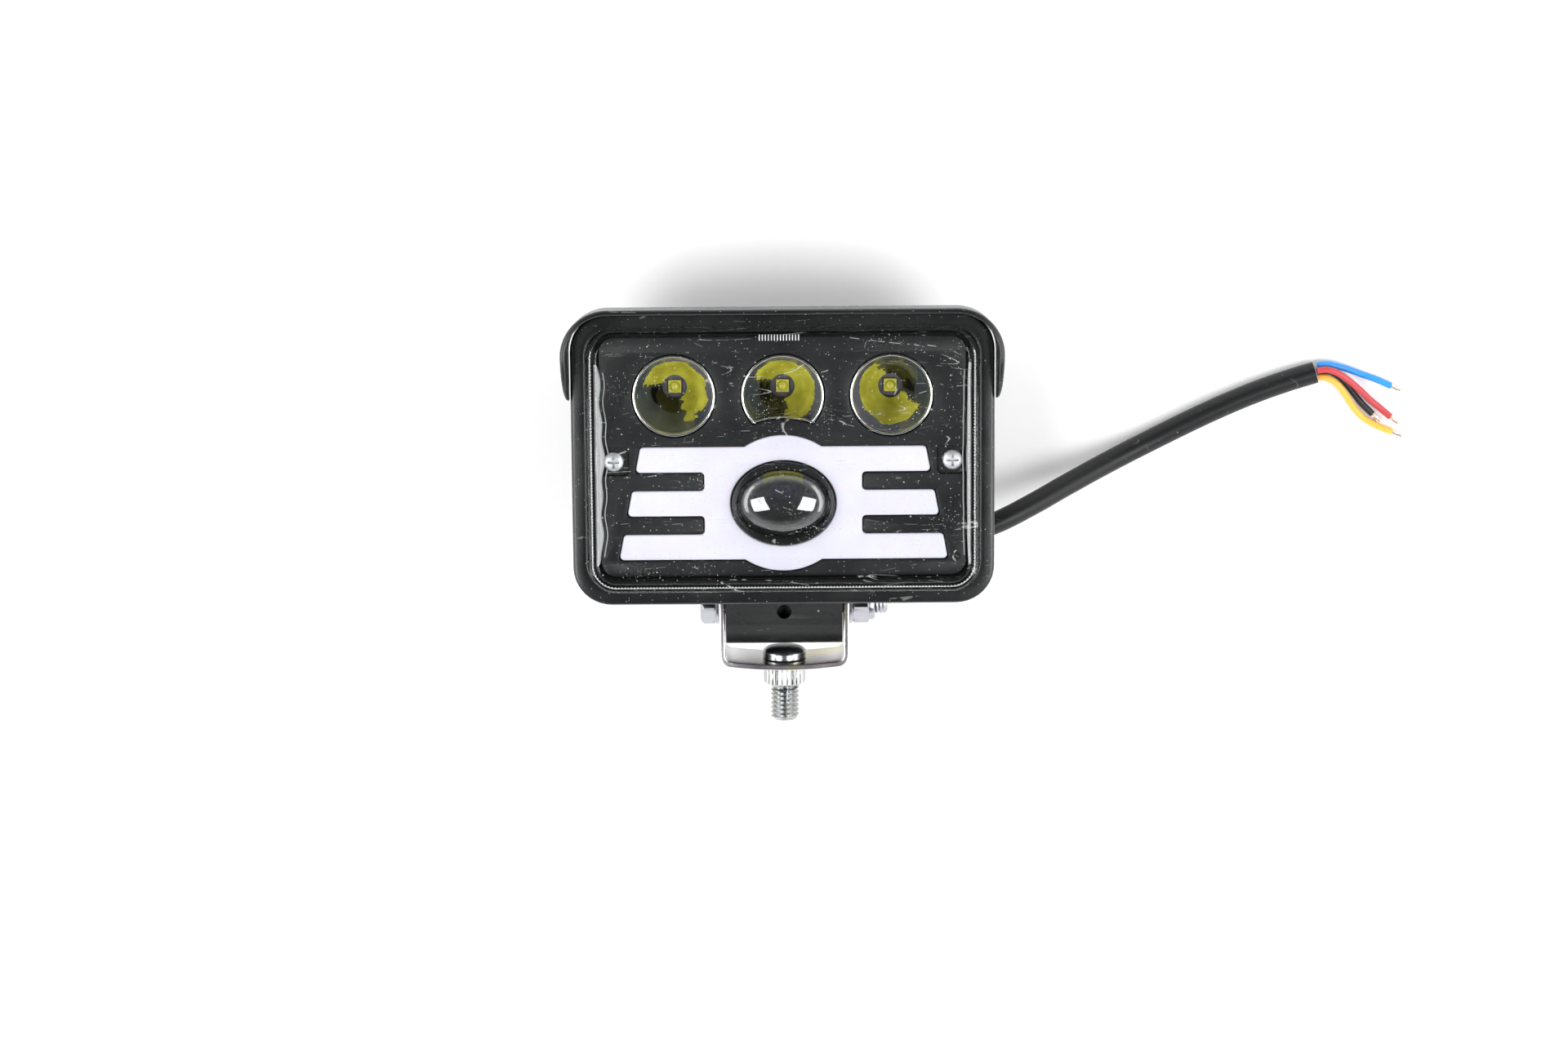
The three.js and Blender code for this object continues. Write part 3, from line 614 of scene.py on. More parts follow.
def carve(obj, cutters, angle=35):
    for cutter in cutters:
        change = obj.modifiers.new("cut", "BOOLEAN")
        change.object = cutter
        change.solver = "EXACT"
        change.operation = "DIFFERENCE"
    bpy.context.view_layer.update()
    result = obj.evaluated_get(bpy.context.evaluated_depsgraph_get())
    mesh = bpy.data.meshes.new_from_object(result)
    obj.modifiers.clear()
    obj.data = mesh
    smooth(mesh, angle)
    for cutter in cutters:
        bpy.data.objects.remove(cutter)
    return obj


def filleted(corners, steps=5):
    """Rounds each corner (x, y, radius) of a closed outline; a radius of 0 keeps the point."""
    points = []
    for i, (x, y, radius) in enumerate(corners):
        here = Vector((x, y))
        if radius == 0:
            points.append((x, y))
            continue
        before = (Vector(corners[i - 1][:2]) - here).normalized()
        after = (Vector(corners[(i + 1) % len(corners)][:2]) - here).normalized()
        half = before.angle(after) / 2
        reach = radius / math.tan(half)
        start = here + before * reach
        end = here + after * reach
        centre = here + (before + after).normalized() * (radius / math.sin(half))
        first = start - centre
        swing = first.angle_signed(end - centre)
        for k in range(steps + 1):
            turned = first.copy()
            turned.rotate(Matrix.Rotation(-swing * k / steps, 2))
            points.append(tuple(centre + turned))
    return points


def plate(name, outlines, z0, z1, edge):
    """A flat plate with holes and softly rounded edges, from closed outlines."""
    curve = bpy.data.curves.new(name, "CURVE")
    curve.dimensions = "2D"
    curve.fill_mode = "BOTH"
    curve.extrude = ((z1 - z0) / 2 - edge) * MM
    curve.bevel_depth = edge * MM
    curve.bevel_resolution = 2
    curve.offset = -edge * MM
    for outline in outlines:
        spline = curve.splines.new("POLY")
        spline.points.add(len(outline) - 1)
        for point, (x, y) in zip(spline.points, outline):
            point.co = (x * MM, y * MM, 0, 1)
        spline.use_cyclic_u = True
    maker = new_object(name + "_outline", curve)
    bpy.context.view_layer.update()
    made = maker.evaluated_get(bpy.context.evaluated_depsgraph_get())
    mesh = bpy.data.meshes.new_from_object(made)
    mesh.transform(Matrix.Translation((0, 0, (z0 + z1) / 2 * MM)))
    bpy.data.objects.remove(maker)
    weld(mesh, 0.001)
    mesh.name = name
    smooth(mesh)
    return new_object(name, mesh)


def catmull(route, steps=8):
    """Points of the smooth curve through the route, with centripetal spacing."""
    knots = [Vector(point) for point in route]
    knots = [knots[0] * 2 - knots[1], *knots, knots[-1] * 2 - knots[-2]]
    points = [knots[1]]
    for a, b, c, d in zip(knots, knots[1:], knots[2:], knots[3:]):
        gaps = [math.sqrt((q - p).length) for p, q in ((a, b), (b, c), (c, d))]
        start = (b - a) / gaps[0] - (c - a) / (gaps[0] + gaps[1]) + (c - b) / gaps[1]
        end = (c - b) / gaps[1] - (d - b) / (gaps[1] + gaps[2]) + (d - c) / gaps[2]
        start = start * gaps[1]
        end = end * gaps[1]
        for i in range(1, steps + 1):
            t = i / steps
            blend = b * (2 * t**3 - 3 * t**2 + 1) + c * (3 * t**2 - 2 * t**3)
            points.append(blend + start * (t**3 - 2 * t**2 + t) + end * (t**3 - t**2))
    return points


def tube(name, routes, radius, sides=6):
    curve = bpy.data.curves.new(name, "CURVE")
    curve.dimensions = "3D"
    curve.bevel_depth = radius * MM
    curve.bevel_resolution = sides
    curve.use_fill_caps = True
    for route in routes:
        spline = curve.splines.new("POLY")
        spline.points.add(len(route) - 1)
        for point, place in zip(spline.points, route):
            point.co = (*[value * MM for value in place], 1)
    return new_object(name, curve)


# ---------------------------------------------------------------- cable

CABLE_RADIUS = 3
WIRE_RADIUS = 0.9
STRIPPED = 2.9

CABLE_ROUTE = [
    (51.2, -25.15, 18), (54.4, -24.45, 18), (57.6, -23.45, 17.75), (61.6, -21.8, 17), (66, -19.8, 15.6),
    (71, -17.5, 13.6), (76, -15.1, 11.4), (81, -12.8, 9.2), (86, -10.5, 7.2), (91, -8.2, 5.5),
    (96, -5.9, 4.2), (101.5, -3.3, 3.35), (107.6, -0.3, 3.05), (115, 3.3, 3.05),
    (122.6, 6.75, 3.05), (130, 9.8, 3.05),
    (137.8, 12.6, 3.05), (146.4, 15.25, 3.05),
]
WIRE_ROUTES = {
    "blue": [
        (147, 17.05, 2.6), (149.6, 17.35, 2.5), (152.6, 16.75, 2.1), (156, 15.6, 1.5), (159.4, 14.25, 1),
        (163.4, 12.8, 0.95), (167.6, 10.9, 0.95),
    ],
    "red": [
        (146.75, 15.95, 4.5), (149.6, 16.2, 4.5), (152.8, 15.05, 4.2), (156.4, 12.35, 3.5), (159.4, 9.6, 2.4),
        (161.9, 7.1, 1.4), (164.6, 4.8, 0.95), (167.6, 2.25, 0.95),
    ],
    "black": [
        (147.1, 14.85, 1.6), (150, 15.2, 1.6), (152.7, 13.95, 1.35), (155.3, 11.4, 1), (157.6, 8.6, 0.95),
        (160, 5.7, 0.95), (162.6, 3.1, 0.95),
    ],
    "yellow": [
        (147.25, 13.95, 3.5), (149.6, 13.75, 3.7), (152.6, 11.9, 3.6), (155.2, 8.4, 2.5), (157.4, 5, 1.3),
        (159.8, 2.3, 0.95), (163.6, -0.1, 0.95), (168.1, -2, 0.95),
    ],
}


def strands(end, along):
    """Seven tinned strands twisted round each other, from inside the insulation to the stripped tip."""
    side = along.cross(Vector((0, 0, 1))).normalized()
    over = side.cross(along)
    routes = []
    for strand in range(7):
        route = []
        for step in range(9):
            reach = -0.8 + (STRIPPED + 0.8) * step / 8
            angle = strand * math.pi / 3 + reach * 0.55
            spread = 0 if strand == 6 else 0.38 + (0.05 * (strand % 3) if step == 8 else 0)
            offset = side * math.cos(angle) + over * math.sin(angle)
            route.append(end + along * reach + offset * spread)
        routes.append(route)
    return routes


def make_cable():
    line = catmull(CABLE_ROUTE)
    sheath = install(tube("cable", [line], CABLE_RADIUS, 10), "sheath", "sheath", "lamp", "cable_sheath")
    ends = []
    for color, route in WIRE_ROUTES.items():
        points = catmull(route)
        slot = "wire_" + color
        wire = install(tube("insulation_" + color, [points], WIRE_RADIUS), slot, slot, "lamp", slot)
        along = (points[-1] - points[-2]).normalized()
        along = Vector((along.x, along.y, 0)).normalized()
        core = tube("strands_" + color, strands(points[-1], along), 0.2, 3)
        install(core, "tinned_copper", "tinned_copper", "lamp", "conductor_" + color)
        ends += [wire, core]


make_cable()


# ---------------------------------------------------------------- bezel, hood and lens

BEZEL_R = 10.3
PLATEAU_R = 7.2
PLATEAU = (104.0, 70.7)
LENS_WALL = 1.8
LENS_FLANGE_R = 15


def make_bezel():
    width, height = size_of(BEZEL_LOW, BEZEL_HIGH)
    bottom = BEZEL_LOW[2]
    top = BEZEL_HIGH[2]
    recess_top = LENS_LOW[2] + 2.1
    recess_w, recess_h = [value + 2 * GAP for value in size_of(LENS_LOW, LENS_HIGH)]
    open_w, open_h = [value + 2 * GAP for value in PLATEAU]
    rings = [at_height(rounded(width - 0.5, height - 0.5, BEZEL_R - 0.25), bottom)]
    rings.append(at_height(rounded(width, height, BEZEL_R), bottom + 0.25))
    for inset, z in fillet(0, top - 0.1, 0.9, 6):
        rings.append(at_height(rounded(width - 2 * inset, height - 2 * inset, BEZEL_R - inset), z))
    crest = 2.6
    rings.append(at_height(rounded(width - 2 * crest, height - 2 * crest, BEZEL_R - crest), top))
    for inset, z in reversed(fillet(0, top, 0.7, 4)):
        grow = inset - 0.02
        rings.append(at_height(rounded(open_w + 2 * grow, open_h + 2 * grow, PLATEAU_R + GAP + grow), z))
    rings.append(at_height(rounded(open_w, open_h, PLATEAU_R + GAP), recess_top))
    rings.append(at_height(rounded(recess_w, recess_h, LENS_FLANGE_R + GAP), recess_top))
    rings.append(at_height(rounded(recess_w, recess_h, LENS_FLANGE_R + GAP), bottom))
    install(skin("bezel", rings, True), "gloss_black", "gloss_black", "lamp", "front_bezel")


def hood_line():
    """Half of the hood's root line: up the right side and round the corner to the top."""
    x = size_of(BEZEL_LOW, BEZEL_HIGH)[0] / 2 + GAP
    y = size_of(BEZEL_LOW, BEZEL_HIGH)[1] / 2 + GAP
    radius = BEZEL_R + GAP
    line = []
    for i in range(16):
        t = i / 16
        line.append((x, HOOD_LOW[1] + (y - radius - HOOD_LOW[1]) * t**1.6, 1.0, 0.0))
    for i in range(19):
        angle = math.pi / 2 * i / 18
        nx = math.cos(angle)
        ny = math.sin(angle)
        line.append((x - radius + radius * nx, y - radius + radius * ny, nx, ny))
    return line


def make_hood():
    root_z = HOOD_LOW[2]
    tip_z = HOOD_HIGH[2]
    tail_y = HOOD_LOW[1]
    full_y = 31
    right = hood_line()
    left = [(-x, y, -nx, ny) for x, y, nx, ny in reversed(right)]
    rings = []
    for x, y, nx, ny in right + left:
        short = min(1, max(0, (full_y - y) / (full_y - tail_y)))
        rise = math.sqrt(max(0.012, 1 - short**2))
        tip = root_z + 1.2 + (tip_z - root_z - 1.2) * rise
        flare = 0.5 * rise
        thick = 0.25 + 1.25 * rise
        lip = thick / 2
        section = [(0, root_z), (flare * 0.5, (root_z + tip) / 2)]
        section += [(flare + lip + u, tip - lip + v) for u, v in arc(0, 0, lip, 180, 0, 8)]
        section += [(0.3 + rise, (root_z + tip) / 2), (0.25 + 0.85 * rise, root_z)]
        rings.append([(x + nx * offset, y + ny * offset, z) for offset, z in section])
    install(skin("hood", rings), "gloss_black", "gloss_black", "lamp", "visor_hood")


def make_lens():
    flange_w, flange_h = size_of(LENS_LOW, LENS_HIGH)
    bottom = LENS_LOW[2]
    top = LENS_HIGH[2]
    flange_top = bottom + 1.9

    def plateau(inset, z):
        return at_height(rounded(PLATEAU[0] - 2 * inset, PLATEAU[1] - 2 * inset, PLATEAU_R - inset, 14), z)

    def flange(z):
        return at_height(rounded(flange_w, flange_h, LENS_FLANGE_R, 14), z)

    inside = [plateau(inset, z) for inset, z in fillet(LENS_WALL, top - LENS_WALL, 0.8)]
    outside = [plateau(inset, z) for inset, z in fillet(0, top, 1.1, 8)]
    rings = [*reversed(inside), plateau(LENS_WALL, bottom), flange(bottom), flange(flange_top)]
    rings += [plateau(0, flange_top), *outside]
    install(skin("lens", rings), "clear_lens", "clear_lens", "lamp", "front_lens")


def make_weld_rail():
    """The toothed weld rail in the lens wall, down the left, along the bottom and up the right."""
    inset = 0.8
    pitch = 0.85
    outline = rounded(PLATEAU[0] - 2 * inset, PLATEAU[1] - 2 * inset, PLATEAU_R - inset, 14)
    run = [Vector(p) for p in outline if p[1] < PLATEAU[1] / 2 - 5]
    run.sort(key=lambda p: math.atan2(p.x, -p.y))
    stations = []
    for a, b in zip(run, run[1:]):
        inward = Vector((a.y - b.y, b.x - a.x)).normalized()
        count = max(1, round((b - a).length / (pitch / 4)))
        stations += [(a + (b - a) * i / count, inward) for i in range(count)]
    top = LENS_HIGH[2] - 2.2
    low = top - 1.0
    rings = []
    for index, (outer, inward) in enumerate(stations):
        inner = outer + inward * (0.06 if index % 4 < 2 else 0.3)
        rings.append([(*outer, low), (*outer, top), (*inner, top - 0.15), (*inner, low + 0.15)])
    install(skin("lens_teeth", rings, False, 20), "lens_edge", "clear_lens", "lamp")


def make_gate_ridges():
    """Small prismatic ridges under the top edge of the lens, where the moulding's gate was."""
    roof = LENS_HIGH[2] - LENS_WALL
    for index in range(14):
        x = -6.2 + index * 0.8
        low = (x, PLATEAU[1] / 2 - 2.6, roof - 0.5)
        high = (x + 0.3, PLATEAU[1] / 2 - 0.9, roof + 0.1)
        ridge = block(f"lens_ridge_{index + 1}", low, high)
        soften(ridge, 0.12)
        install(ridge, "lens_edge", "clear_lens", "lamp")


def make_sealant():
    """Bead of clear sealant squeezed up along the left and right edges of the mask."""
    edge = MASK_HIGH[0]
    foot = 40.05
    for side, width, wave in ((-1, 2.1, 0.75), (1, 0.9, 0.25)):
        rings = []
        for i in range(73):
            t = i / 72
            y = 25.5 - 55 * t
            swell = math.sin(math.pi * t) ** 0.35
            ripple = math.sin(7.5 * t * math.pi) * math.sin(3.1 * t * math.pi)
            reach = width * swell * (0.8 + wave * 0.4 * ripple)
            outer = edge + 1.4
            inner = outer - 0.5 - max(0.1, reach)
            mid = (outer + inner) / 2
            section = [(outer, foot), (outer, foot + 0.45), (mid + 0.2, foot + 0.95)]
            section += [(mid - 0.4, foot + 0.9), (inner + 0.1, foot + 0.35), (inner, foot)]
            rings.append([(side * x, y, z) for x, z in section])
        name = "sealant_left" if side < 0 else "sealant_right"
        install(skin(name, rings, False, 60), "silicone", "silicone", "lamp")
        brim = [(ring[5][0] - side * 0.95, ring[5][1], foot) for ring in rings[3:-3]]
        install(tube(name + "_brim", [brim], 0.13, 3), "silicone", "silicone", "lamp")


make_bezel()
make_hood()
make_lens()
make_weld_rail()
make_gate_ridges()
make_sealant()


# ---------------------------------------------------------------- mask, light guide and optics

CUP_HOLE = 3.3
CUP_WALL = 0.7
CUP_DEPTH = 14
DISC_R = 18.6
LIP_R = 22.85
BAR_PITCH = 11.97
BAR_H = 7
SLOT_END = 21.2
MASK_SCREW = (45.4, -1.1)
POCKET = 8.4
POCKET_R = 1.6
POCKET_SHIFT = 0.2
CORNER_SCREW = (51.6, 34.9)


def bar_end(y):
    """The outer ends of the light-guide bars lie on one slanted line."""
    return 38.3 + 0.192 * (2.6 - y)


def guide_outline(grow):
    span = BAR_PITCH + BAR_H / 2 + grow
    radius = DISC_R + grow
    meet = math.degrees(math.asin(span / radius))
    right = [(x, y, 0) for x, y in arc(0, GUIDE_Y, radius, 90, meet, 16)]
    for row in (1, 0, -1):
        centre = GUIDE_Y + BAR_PITCH * row
        top = centre + BAR_H / 2 + grow
        bottom = centre - BAR_H / 2 - grow
        if row < 1:
            right.append((SLOT_END + grow, top, 1.0))
        right.append((bar_end(top) + grow, top, 1.1))
        right.append((bar_end(bottom) + grow, bottom, 1.1))
        if row > -1:
            right.append((SLOT_END + grow, bottom, 1.0))
    right += [(x, y, 0) for x, y in arc(0, GUIDE_Y, radius, -meet, -90, 16)]
    left = [(-x, y, r) for x, y, r in reversed(right[1:-1])]
    return filleted(right + left)


def middle_cup_outline():
    """The middle cup's opening is cut into by the disc's lip."""
    radius = CUP_RIM + GAP
    gap = CUP_Y - GUIDE_Y
    up = (gap**2 + LIP_R**2 - radius**2) / (2 * gap)
    half = math.sqrt(LIP_R**2 - up**2)
    cup_start = math.degrees(math.atan2(up - gap, half))
    lip_end = math.degrees(math.atan2(up, half))
    over = arc(0, CUP_Y, radius, cup_start, 180 - cup_start, 56)
    back = arc(0, GUIDE_Y, LIP_R, 180 - lip_end, lip_end, 24)
    return over + back[1:-1]


def make_mask():
    width, height = size_of(MASK_LOW, MASK_HIGH)
    outlines = [rounded(width, height, 4), guide_outline(GAP), middle_cup_outline()]
    for x in (CUP_X[0], CUP_X[2]):
        outlines.append([(x + u, CUP_Y + v) for u, v in oval(CUP_RIM + GAP, CUP_RIM + GAP, 0, 96)])
    for side in (-1, 1):
        x = side * (MASK_SCREW[0] - POCKET_SHIFT)
        outlines.append(rounded(POCKET, POCKET, POCKET_R, 6, x, MASK_SCREW[1]))
    top = MASK_HIGH[2]
    install(plate("mask", outlines, top - 1.8, top, 0.22), "charcoal", "charcoal", "lamp", "face_mask")
    for side, name in ((-1, "left"), (1, "right")):
        x = side * (MASK_SCREW[0] - POCKET_SHIFT)
        y = MASK_SCREW[1]
        hole = rounded(3.4, 3.4, 1.69, 6, side * MASK_SCREW[0], y)
        floor = [rounded(POCKET, POCKET, POCKET_R, 6, x, y), hole]
        seat = plate("screw_pocket_" + name, floor, top - 1.6, top - 1.02, 0.1)
        install(seat, "charcoal", "charcoal", "lamp")
    wall = [rounded(width, height, 4, 8), rounded(width - 3, height - 3, 2.5, 8)]
    skirt = plate("mask_skirt", wall, MASK_LOW[2], top - 1.85, 0.1)
    install(skirt, "charcoal", "charcoal", "lamp")


def make_guide():
    ring_w, ring_h = size_of(RING_LOW, RING_HIGH)
    hole = oval(ring_w / 2 + GAP, ring_h / 2 + GAP, GUIDE_Y)
    body = plate("guide", [guide_outline(0), hole], 36.6, 39.9, 0.45)
    install(body, "milky", "milky", "lamp", "light_guide")


def cup_profile():
    """A true paraboloid inside, a rounded rim and an even wall outside: radius and height."""
    lip = CUP_WALL / 2
    rim = CUP_RIM - CUP_WALL
    rise = CUP_DEPTH - lip
    slope = (rim**2 - CUP_HOLE**2) / rise
    heights = [rise * (i / 28) ** 1.5 for i in range(29)]
    inner = [(math.sqrt(CUP_HOLE**2 + slope * height), height) for height in heights]
    lip_arc = [(rim + lip + u, rise + v) for u, v in arc(0, 0, lip, 180, 0, 8)[1:-1]]
    outer = [(radius + CUP_WALL, height) for radius, height in reversed(inner)]
    return inner + lip_arc + outer


def make_cups():
    floor = MASK_HIGH[2] - 0.1 - CUP_DEPTH
    for x, side in zip(CUP_X, ("left", "middle", "right")):
        stations = [(height, radius) for radius, height in cup_profile()]
        cup = polar("cup_" + side, stations, "z", (x, CUP_Y, floor), 128, True, 50)
        if side == "middle":
            clear = LIP_R + GAP
            for vertex in cup.data.vertices:
                away = Vector((vertex.co.x / MM, vertex.co.y / MM - GUIDE_Y))
                if away.length < clear:
                    across = min(abs(away.x), clear)
                    vertex.co.y = (GUIDE_Y + math.sqrt(clear**2 - across**2)) * MM
        install(cup, "cup_" + side, "chrome", "lamp", "reflector_cup_" + side)


def make_cup_lip():
    """Bright cut edge of the middle cup, along the disc's lip."""
    radius = LIP_R + GAP + 0.3
    spread = 20.5
    line = [(x, y, MASK_HIGH[2] - 0.35) for x, y in arc(0, GUIDE_Y, radius, 90 - spread, 90 + spread, 32)]
    install(tube("cup_lip", [line], 0.24, 4), "chrome", "chrome", "lamp")


def make_emitters():
    for x, side in zip(CUP_X, ("left", "middle", "right")):
        low, high = box_mm("led_emitter_" + side)
        width = high[0] - low[0]
        shelf = low[2] + 0.7
        outlines = [(width, 0.15, low[2]), (width, 0.15, shelf - 0.08), (width - 0.16, 0.12, shelf)]
        rings = [at_height(rounded(w, w, r, 6, x, CUP_Y), z) for w, r, z in outlines]
        for i in range(8):
            angle = math.pi / 2 * i / 8
            radius = 1.4 * math.cos(angle)
            z = shelf + (high[2] - shelf) * math.sin(angle)
            rings.append(at_height(rounded(2 * radius, 2 * radius, radius, 6, x, CUP_Y), z))
        emitter = skin("emitter_" + side, rings, False, 40)
        install(emitter, "phosphor", "phosphor", "lamp", "led_emitter_" + side)


def make_projector():
    a, b = [value / 2 for value in size_of(RING_LOW, RING_HIGH)]
    glass_a, glass_b = [value / 2 for value in size_of(DOME_LOW, DOME_HIGH)]
    top = RING_HIGH[2]
    rings = [at_height(oval(a, b, GUIDE_Y), RING_LOW[2])]
    rings += [at_height(oval(a - inset, b - inset, GUIDE_Y), z) for inset, z in fillet(0, top, 0.45)]
    steps = ((0.75, top), (0.6, top - 0.12), (0.45, top - 0.8), (GAP, top - 1.1), (GAP, RING_LOW[2]))
    rings += [at_height(oval(glass_a + grow, glass_b + grow, GUIDE_Y), z) for grow, z in steps]
    install(skin("ring", rings, True, 40), "gloss_black", "gloss_black", "lamp", "lens_ring")
    base = DOME_LOW[2]
    collar = base + 1.5
    rings = [at_height(oval(glass_a, glass_b, GUIDE_Y), base)]
    for i in range(24):
        angle = math.pi / 2 * i / 24
        share = math.cos(angle)
        z = collar + (DOME_HIGH[2] - collar) * math.sin(angle)
        rings.append(at_height(oval(glass_a * share, glass_b * share, GUIDE_Y), z))
    install(skin("dome", rings, False, 50), "optical_glass", "optical_glass", "lamp", "projector_lens")


make_mask()
make_guide()
make_cups()
make_cup_lip()
make_emitters()
make_projector()


# ---------------------------------------------------------------- fasteners


def phillips(name, node, at, seat, direction, head, shank, length):
    """Pan-head screw with a cross recess, its head on the given side of its seat."""
    stations = [(-length, shank * 0.4), (-length + 0.6, shank)]
    turns = int(length / 0.6)
    for i in range(1, turns):
        stations.append((-length + 0.6 + i * 0.3, shank * (1 if i % 2 else 0.82)))
    stations += [(-0.2, shank), (0, shank), (0, head - 0.12), (0.12, head), (0.6, head)]
    for i in range(1, 8):
        angle = math.pi / 2 * i / 7
        stations.append((0.6 + 1.1 * math.sin(angle), max(0.05, head * math.cos(angle) ** 0.62)))
    stations = [(direction * height, radius) for height, radius in stations]
    screw = polar(name, stations, "z", (*at, seat), 48)
    reach = head * 0.58
    low = seat + direction * 0.75
    high = seat + direction * 3
    z0, z1 = sorted((low, high))
    slots = [
        block("slot_a", (at[0] - reach, at[1] - 0.34, z0), (at[0] + reach, at[1] + 0.34, z1)),
        block("slot_b", (at[0] - 0.34, at[1] - reach, z0), (at[0] + 0.34, at[1] + reach, z1)),
    ]
    install(carve(screw, slots), "zinc_screw", "zinc", "lamp", node)


def make_screws():
    for side, name in ((-1, "mask_screw_left"), (1, "mask_screw_right")):
        at = (side * MASK_SCREW[0], MASK_SCREW[1])
        phillips("pan_" + name, name, at, MASK_HIGH[2] - 0.85, 1, 2.75, 1.2, 8)
    corners = ((1, 1), (-1, 1), (-1, -1), (1, -1))
    for index, (sx, sy) in enumerate(corners, 1):
        at = (sx * CORNER_SCREW[0], sy * CORNER_SCREW[1])
        phillips(f"pan_housing_{index}", f"housing_screw_{index}", at, 33.8, -1, 2.2, 1, 8.4)


def hexagon(flats, limit):
    """Radius of a hexagon at each angle, held under a limit where its corners are chamfered."""

    def radius(angle):
        off = (angle + math.pi / 6) % (math.pi / 3) - math.pi / 6
        return min(flats / 2 / math.cos(off), limit)

    return radius


def thread(middle_radius, depth, pitch, height):
    """Radius round one section of a screw thread."""

    def radius(angle):
        phase = (height / pitch - angle / (2 * math.pi)) % 1
        return middle_radius + depth * (abs(phase * 2 - 1) - 0.5)

    return radius


def threaded(start, end, middle_radius, depth, pitch, steps=8):
    count = max(2, round(abs(end - start) / pitch * steps))
    heights = [start + (end - start) * i / count for i in range(count + 1)]
    return [(height, thread(middle_radius, depth, pitch, height)) for height in heights]


def make_pivot():
    at = (0, PIVOT_Y, PIVOT_Z)
    head_out = BOLT_LOW[0]
    head_in = -LOCK_LOW[0]
    stations = [(head_out + 0.25, 3.4), (head_out, 3.9), (head_out, 4.4)]
    stations += [(head_out + 0.45, hexagon(10, 5.2)), (head_out + 0.9, hexagon(10, 5.72))]
    stations += [(head_in - 0.2, hexagon(10, 5.72)), (head_in, hexagon(10, 5.3)), (head_in, 3.0)]
    stations += threaded(17.0, BOLT_HIGH[0] - 0.6, 2.86, 0.34, 1.0) + [(BOLT_HIGH[0], 2.3)]
    install(polar("hex_bolt", stations, "x", at), "zinc", "zinc", "bracket", "pivot_bolt")
    near = LOCK_LOW[0]
    far = LOCK_HIGH[0]
    bore = 3.3
    stations = [(near, bore), (near, hexagon(10, 5.1)), (near + 0.4, hexagon(10, 5.75))]
    stations += [(far - 2.0, hexagon(10, 5.75)), (far - 1.6, hexagon(10, 4.95)), (far - 1.55, 4.7)]
    stations += [(far - 0.7, 4.68), (far - 0.2, 4.45), (far, 4.05), (far - 0.1, 3.7), (far - 0.5, 3.45)]
    stations += [(far - 0.6, bore)]
    install(polar("lock_nut", stations, "x", at, 96, True), "zinc", "zinc", "bracket", "pivot_nut")
    for side in ("left", "right"):
        low, high = box_mm("pivot_washer_" + side)
        rim = (high[1] - low[1]) / 2
        stations = [(low[0], bore), (low[0], rim - 0.15), (low[0] + 0.15, rim)]
        stations += [(high[0] - 0.15, rim), (high[0], rim - 0.15), (high[0], bore)]
        washer = polar("washer_" + side, stations, "x", at, 96, True)
        install(washer, "zinc", "zinc", "bracket", "pivot_washer_" + side)


def knurl(outer, depth, teeth):
    def radius(angle):
        phase = (angle * teeth / (2 * math.pi)) % 1
        return outer - depth * (1 - abs(phase * 2 - 1)) ** 1.4

    return radius


def make_stud():
    at = (0, 0, PIVOT_Z)
    tip = STUD_LOW[1]
    head = STUD_HIGH[1]
    seat = head - 3.4
    rod_end = -68.0
    stations = [(tip + 0.15, 2.2), (tip, 2.5), (tip, 3.0), (tip + 0.5, 3.35)]
    stations += threaded(tip + 0.6, rod_end, 3.6, 0.8, 1.25) + [(rod_end + 0.5, 3.7), (seat, 3.7)]
    stations += [(seat, 5.85), (seat + 0.15, 6.0), (seat + 1.5, 6.0)]
    for i in range(1, 10):
        angle = math.pi / 2 * i / 10
        stations.append((seat + 1.5 + 1.9 * math.sin(angle), 6 * math.cos(angle) ** 0.75))
    install(polar("threaded_stud", stations, "y", at), "zinc", "zinc", "stud", "stud_bolt")
    near = NUT_LOW[1]
    far = NUT_HIGH[1]
    bore = 4.3
    chamfer_r = 5.1
    edge = knurl(5.7, 0.42, 24)
    stations = [(near, bore), (near, chamfer_r), (near + 0.45, edge)]
    stations += [(far - 0.45, edge), (far, chamfer_r), (far, bore)]
    install(polar("knurled_nut", stations, "y", at, 240, True), "zinc", "zinc", "stud", "stud_nut")


STRIP_THICK = 1.5
STRIP_HALF = 9.0


def bracket_line():
    """Inner face of the U strip, from the left leg's tip round to the right leg's tip."""
    inner = STRIP_HIGH[0] - STRIP_THICK
    base = -59.4
    bend = 2.4
    bow = 0.8
    leg = [(-inner, PIVOT_Y + STRIP_HALF * math.sin(math.pi / 2 * i / 14)) for i in range(14, 0, -1)]
    leg += [(-inner, PIVOT_Y), (-inner, (PIVOT_Y + base) / 2)]
    corner_a = Vector((-inner, base + bend))
    corner_b = Vector((-inner, base))
    corner_c = Vector((-inner + bend, base))
    for i in range(9):
        t = i / 8
        point = corner_a * (1 - t) ** 2 + corner_b * 2 * t * (1 - t) + corner_c * t**2
        leg.append(tuple(point))
    for i in range(1, 9):
        t = i / 16
        x = (-inner + bend) * (1 - 2 * t)
        leg.append((x, base - 4 * bow * t * (1 - t)))
    return leg + [(-x, y) for x, y in reversed(leg[:-1])]


